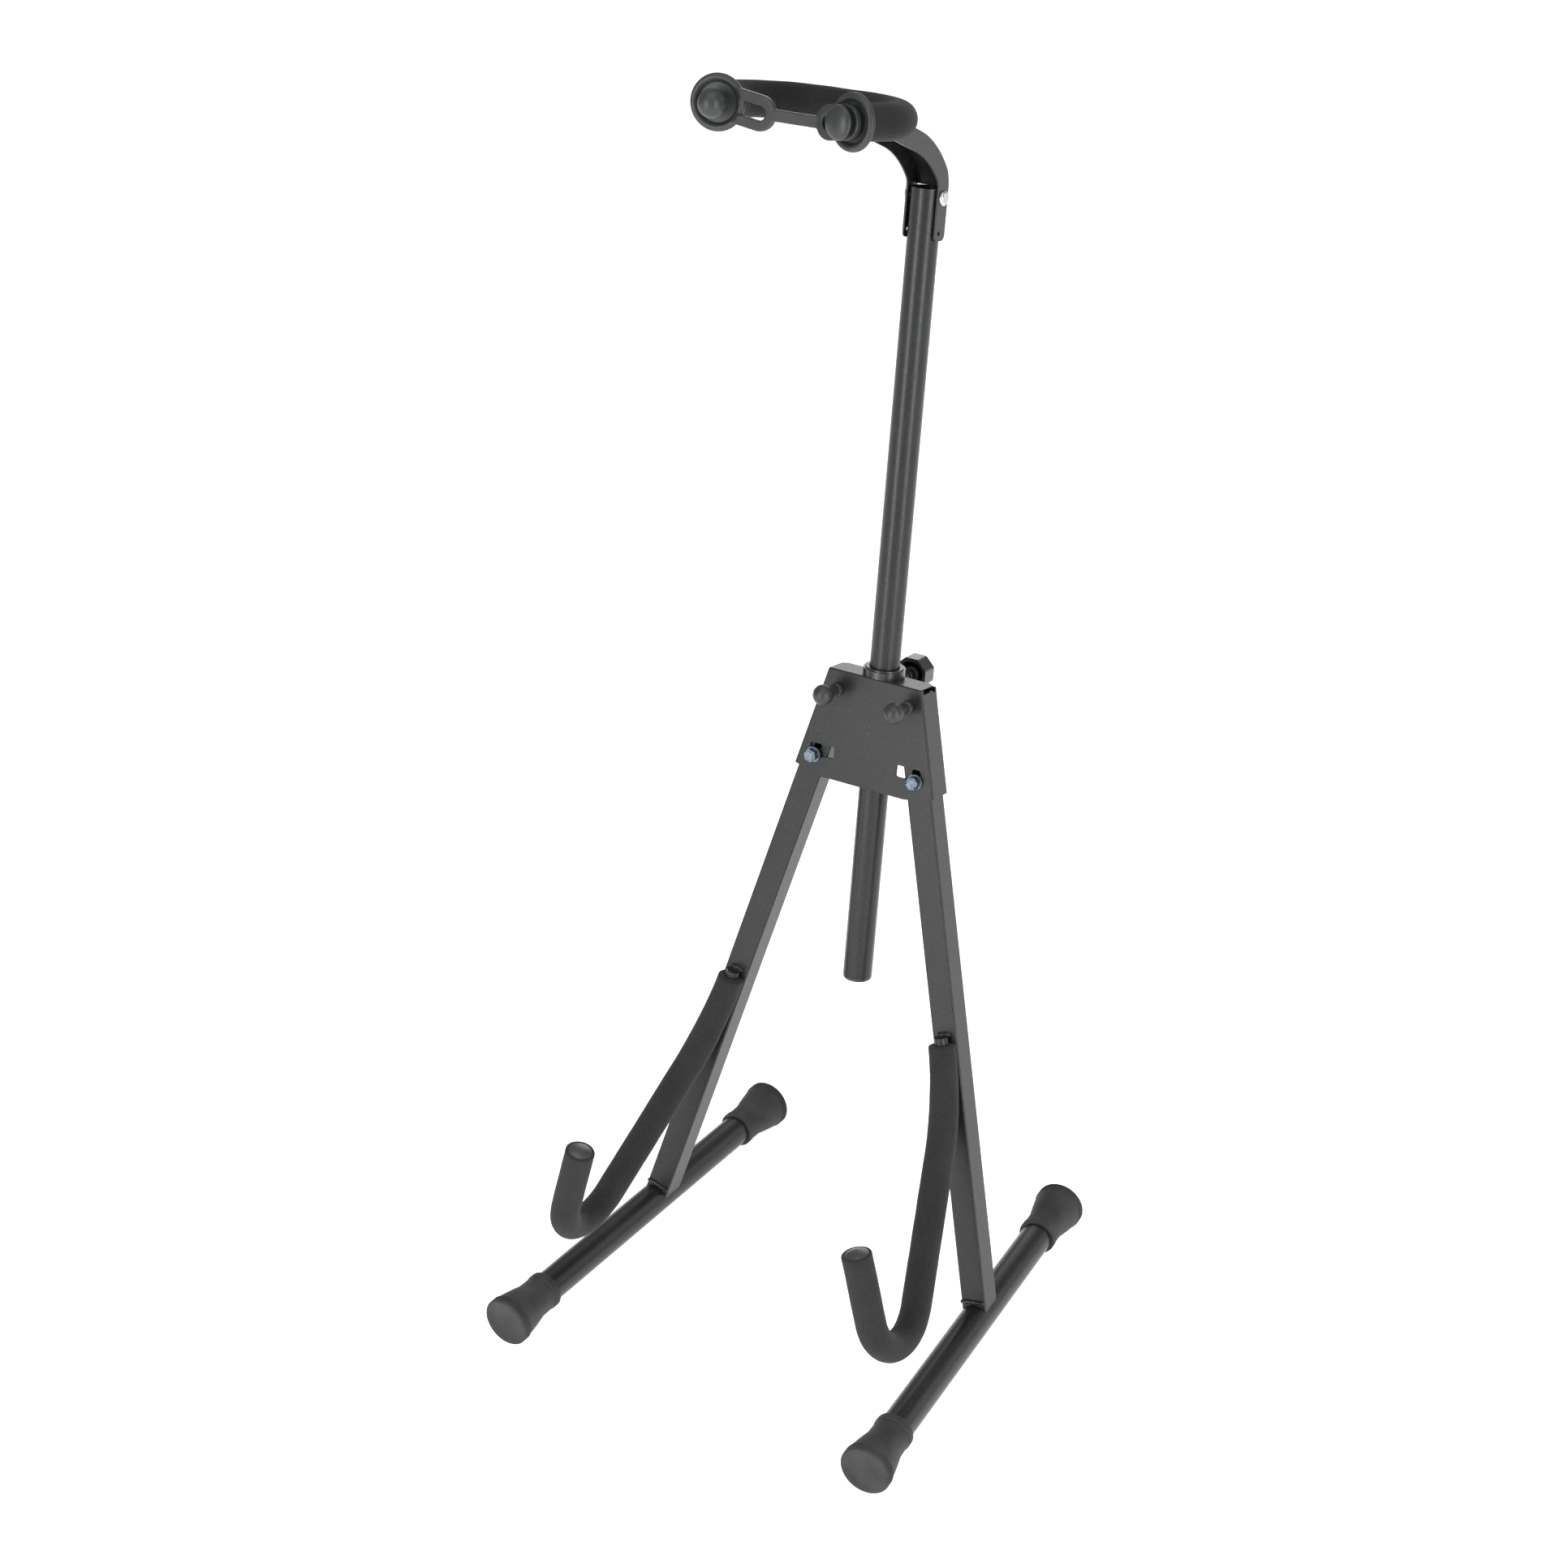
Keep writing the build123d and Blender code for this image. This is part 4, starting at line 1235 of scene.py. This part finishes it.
@dataclass
class Leg:
    """A square leg with its foot tube, two caps, and the padded hook that holds the guitar."""

    side: Side
    places: Places
    toe: float = 3.0
    cap_floor: float = 5.0
    half_leg: float = 9.0
    rod_radius: float = 4.75
    arm_start: float = 224.0
    arm_straight: float = 5.4
    arm_bend_radius: float = 140.0
    arm_bend: float = 31.5
    arm_slope: float = 97.0
    hook_radius: float = 32.5
    hook_turn: float = 140.0
    tip_rise: float = 50.4
    foam_radius: float = 10.1
    foam_start: float = 5.4
    foam_neck: float = 9.3
    foam_neck_length: float = 62.0
    foam_gap: float = 0.05
    bead_voxel: float = 0.28
    foot_bead: float = 1.55
    foot_bead_inset: float = 1.2
    foot_puddles: int = 13
    hook_bead: float = 1.9
    hook_bead_half: float = 3.4
    hook_bead_up: float = 0.5
    hook_puddles: int = 7
    bead_sink: float = 0.3
    foot_seed: int = 3
    hook_seed: int = 7

    @property
    def body(self) -> str:
        """CAD body of this leg."""
        return "leg_" + self.side.word

    def caps(self) -> None:
        """Both rubber caps of the foot."""
        place = self.places.foot(self.side, self.toe)
        low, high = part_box("foot_tube_" + self.side.word)
        angle = math.radians(self.toe)
        radius = (high.z - low.z) / 2
        half = ((high.y - low.y) / 2 - radius * math.sin(angle)) / math.cos(angle) + self.cap_floor * MM
        for end, sign in (("front", 1), ("rear", -1)):
            turn = Matrix.Rotation(math.pi, 4, "X") if sign > 0 else Matrix.Identity(4)
            at = place @ Matrix.Translation((0.0, 0.0, sign * half)) @ turn
            node = f"foot_cap_{end}_{self.side.word}"
            FootCap(f"cap_{end}_{self.side.word}", self.body, node, at).build()

    def foam(self) -> None:
        """The foam sleeve of the hook."""
        leg = self.places.leg(self.side)
        side_plane = leg @ SIDE_VIEW
        route = Route((-self.half_leg - self.rod_radius, -self.arm_start), -90.0)
        route.run(self.arm_straight).turn(self.arm_bend_radius, -self.arm_bend).run(self.arm_slope)
        route.turn(self.hook_radius, -self.hook_turn).run(self.tip_rise)
        flat = leg @ Vector((0.0, -(self.half_leg + self.foam_gap) * MM, 0.0))
        sleeve = Sleeve(f"hook_sleeve_{self.side.word}", route, side_plane, self.foam_radius,
                        self.foam_start, route.length, neck_radius=self.foam_neck,
                        neck_length=self.foam_neck_length, rest_point=flat, rest_normal=self.places.back)
        hand_over(sleeve.build(Coat.FOAM), self.body, ("cradle_foam_" + self.side.word,))

    def welds(self) -> None:
        """The beads that join leg to foot and hook to leg."""
        leg = self.places.leg(self.side)
        low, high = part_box("foot_weld_" + self.side.word)
        middle = (low + high) / 2
        across = (leg.to_3x3() @ ACROSS) * (self.half_leg - self.foot_bead_inset) * MM
        settle = Vector((0.0, 0.0, -self.bead_sink * MM))
        values = {"Start": tuple(middle - across + settle), "End": tuple(middle + across + settle),
                  "Puddles": self.foot_puddles, "Radius": self.foot_bead * MM,
                  "Voxel": self.bead_voxel * MM, "Seed": self.foot_seed}
        foot = Trees.weld.grow(f"foot_bead_{self.side.word}", Coat.WELD, values)
        hand_over(foot, self.body, ("foot_weld_" + self.side.word,))
        out, rise = -self.half_leg - self.bead_sink, -self.arm_start + self.hook_bead_up
        top = leg @ Vector((0.0, out * MM, rise * MM))
        across = (leg.to_3x3() @ ACROSS) * self.hook_bead_half * MM
        values = {**values, "Start": tuple(top - across), "End": tuple(top + across),
                  "Puddles": self.hook_puddles, "Radius": self.hook_bead * MM, "Seed": self.hook_seed}
        arm = Trees.weld.grow(f"hook_bead_{self.side.word}", Coat.WELD, values)
        hand_over(arm, self.body, ("arm_weld_" + self.side.word,))

    def build(self) -> None:
        """Make the pieces that are finer than their CAD nodes."""
        self.caps()
        self.foam()
        self.welds()

    def dress(self) -> None:
        """Finish the nodes that stay."""
        word = self.side.word
        dress(("leg_tube_" + word, "foot_tube_" + word, "cradle_rod_" + word), Coat.POWDER)
        dress(("cradle_tip_" + word,), Coat.TIP)


@dataclass
class LockBolt:
    """A zinc-plated flange bolt with its washer and nut, which locks one leg."""

    side: Side
    places: Places
    distance: float = 49.7
    radius: float = 2.5
    nut_back: float = 14.9
    pitch: float = 0.8
    turns: float = 1.6
    ridge: float = 0.22
    edges: tuple[tuple[str, float], ...] = (("bolt", 0.3), ("washer", 0.2), ("nut", 0.3))

    def build(self) -> None:
        """Ease the edges and cut the thread that shows behind the nut."""
        word = self.side.word
        body = "lock_" + word
        for kind, width in self.edges:
            refine(f"lock_{kind}_{word}", body, Coat.ZINC, width)
        leg = self.places.leg(self.side)
        origin = leg @ Vector((0.0, self.nut_back * MM, -self.distance * MM))
        at = turned_frame(origin, -(leg.to_3x3() @ UP), self.places.back)
        values = {"Turns": self.turns, "Length": self.turns * self.pitch * MM,
                  "Radius": self.radius * MM, "Ridge": self.ridge * MM, **seat(at)}
        thread = Trees.thread.grow("lock_thread_" + word, Coat.ZINC, values, crease=30.0)
        hand_over(thread, body)


@dataclass
class Clamp:
    """The screw, knob and pad that hold the upright at its height."""

    places: Places
    screw_radius: float = 3.0
    thread_start: float = -13.0
    thread_length: float = 12.5
    pitch: float = 1.0
    ridge: float = 0.27
    ridge_sink: float = 0.02
    edge: float = 0.45

    def build(self) -> None:
        """Ease the knob and cut the screw's thread."""
        refine("clamp_knob", "screw", Coat.PLASTIC, self.edge)
        axis = self.places.axis("clamp_turn")
        origin = self.places.spot("clamp_turn") + axis * self.thread_start * MM
        at = turned_frame(origin, ACROSS.cross(axis) * -1, axis)
        values = {"Turns": self.thread_length / self.pitch, "Length": self.thread_length * MM,
                  "Radius": (self.screw_radius - self.ridge_sink) * MM,
                  "Ridge": self.ridge * MM, **seat(at)}
        thread = Trees.thread.grow("clamp_thread", Coat.DARK, values, crease=30.0)
        hand_over(thread, "screw")

    def dress(self) -> None:
        """Finish the nodes that stay."""
        dress(("clamp_screw",), Coat.DARK)
        dress(("clamp_pad",), Coat.PLASTIC)


@dataclass
class Mast:
    """The height-adjustable upright."""

    def dress(self) -> None:
        """Finish the nodes that stay."""
        dress(("upright_tube",), Coat.POWDER)
        dress(("upright_plug",), Coat.PLASTIC)


@dataclass
class NeckYoke:
    """Gooseneck bracket, padded yoke, its two rubber caps and the security strap."""

    places: Places
    hinge_drop: float = 5.5
    forward: float = 111.2
    up: float = 55.8
    tilt: float = 2.0
    half_back: float = 12.9
    bend_radius: float = 37.8
    toe: float = 15.0
    straight: float = 20.6
    foam_radius: float = 10.6
    voxel: float = 0.4
    cap_passes: int = 5
    strap_passes: int = 6
    edge: float = 0.3

    def __post_init__(self) -> None:
        """Work out the yoke's frame and where its prongs end."""
        top = self.places.mast(self.hinge_drop * MM)
        shift = Matrix.Translation((0.0, -self.forward * MM, self.up * MM))
        self.place = top @ shift @ Matrix.Rotation(math.radians(-self.tilt), 4, "X")
        lean = math.radians(self.toe)
        self.tip = (math.sin(lean), math.cos(lean))
        self.ring_x = self.half_back + self.bend_radius * self.tip[1] - self.straight * self.tip[0]
        self.ring_y = -self.bend_radius * (1 + self.tip[0]) - self.straight * self.tip[1]

    def foam(self) -> None:
        """The foam sleeve, from prong to prong."""
        route = Route((self.ring_x, self.ring_y), 90.0 - self.toe)
        route.run(self.straight).turn(self.bend_radius, 90 + self.toe).run(2 * self.half_back)
        route.turn(self.bend_radius, 90 + self.toe).run(self.straight)
        sleeve = Sleeve("yoke_sleeve", route, self.place, self.foam_radius, 0.0, route.length,
                        swell=0.6, crease=0.25, crease_pitch=7.5)
        hand_over(sleeve.build(Coat.YOKE_FOAM), "yoke", ("yoke_foam",))

    def build(self) -> None:
        """Make the pieces that are finer than their CAD nodes."""
        self.foam()
        mould("yoke_cap_right", "yoke_cap", Coat.YOKE_RUBBER, self.voxel, self.cap_passes)
        mould("security_strap", "neck_strap", Coat.YOKE_RUBBER, self.voxel, self.strap_passes)
        refine("yoke_bracket", "yoke", Coat.POWDER, self.edge)

    def dress(self) -> None:
        """Finish the nodes that stay."""
        dress(("yoke_rod",), Coat.POWDER)
        dress(("yoke_rivet",), Coat.BRIGHT)


# ---- studio ----------------------------------------------------------------


@dataclass(frozen=True)
class Softbox:
    """A flat light that faces the stand."""

    name: str
    azimuth: float
    distance: float
    height: float
    size: tuple[float, float]
    radiance: float
    aim: float = 0.42

    def build(self) -> None:
        """Place the light; azimuth 0 is in front of the stand, and it grows toward +X."""
        data = bpy.data.lights.new(self.name, "AREA")
        data.shape = "RECTANGLE"
        data.size, data.size_y = self.size
        data.energy = self.radiance * math.pi * self.size[0] * self.size[1]
        made = bpy.data.objects.new(self.name, data)
        bpy.context.scene.collection.objects.link(made)
        turn = math.radians(self.azimuth)
        at = Vector((math.sin(turn) * self.distance, -math.cos(turn) * self.distance, self.height))
        made.location = at
        target = Vector((0.0, 0.0, self.aim))
        made.rotation_euler = (target - at).to_track_quat("-Z", "Y").to_euler()
        made.visible_camera = False


@dataclass
class Studio:
    """Floor, light and camera."""

    camera_at: Vector = field(default_factory=lambda: Vector((0.7714, -1.2978, 1.2015)))
    camera_turn: tuple[float, float, float] = (62.041, 0.0, 31.205)
    lens: float = 61.61
    sensor: float = 36.0
    floor_half: float = 14.0
    floor_drop: float = 0.4
    sky: float = 0.38
    lights: tuple[Softbox, ...] = (
        Softbox("left_strip", -13.0, 2.1, 0.95, (0.62, 1.9), 8.0),
        Softbox("right_strip", 66.0, 2.1, 0.95, (0.62, 1.9), 7.6),
        Softbox("back_strip", 198.0, 2.4, 1.1, (1.4, 1.6), 1.6),
        Softbox("side_strip", 132.0, 2.4, 1.1, (1.0, 1.6), 1.4),
        Softbox("overhead", 20.0, 0.4, 2.8, (2.2, 2.2), 1.5),
    )

    def floor(self) -> None:
        """A flat floor under everything."""
        half = self.floor_half
        mesh = bpy.data.meshes.new("floor")
        corners = [(-half, -half, 0), (half, -half, 0), (half, half, 0), (-half, half, 0)]
        mesh.from_pydata(corners, [], [(0, 1, 2, 3)])
        made = new_object("floor", mesh, Coat.FLOOR)
        made.location.z = -self.floor_drop * MM

    def world(self) -> None:
        """Even pale light from all round."""
        world = bpy.data.worlds.new("studio")
        world.use_nodes = True
        shader = world.node_tree.nodes["Background"]
        shader.inputs["Color"].default_value = (1.0, 1.0, 1.0, 1.0)
        shader.inputs["Strength"].default_value = self.sky
        bpy.context.scene.world = world

    def camera(self) -> None:
        """The camera, without depth of field."""
        data = bpy.data.cameras.new("camera")
        data.lens = self.lens
        data.sensor_width = self.sensor
        made = bpy.data.objects.new("camera", data)
        made.location = self.camera_at
        made.rotation_euler = tuple(math.radians(angle) for angle in self.camera_turn)
        bpy.context.scene.collection.objects.link(made)
        bpy.context.scene.camera = made

    def build(self) -> None:
        """Set up the whole studio."""
        self.floor()
        self.world()
        for light in self.lights:
            light.build()
        self.camera()
        bpy.context.scene.view_settings.view_transform = "Standard"


def main() -> None:
    """Build every sub-assembly, then the studio."""
    places = Places()
    legs = [Leg(side, places) for side in Side]
    bolts = [LockBolt(side, places) for side in Side]
    for part in (Head(places), *legs, *bolts, Clamp(places), Mast(), NeckYoke(places)):
        log.info("building %s", type(part).__name__)
        for step in ("build", "dress"):
            if hasattr(part, step):
                getattr(part, step)()
    Studio().build()


if __name__ == "__main__":
    logging.basicConfig(level=logging.INFO, format="%(message)s")
    main()
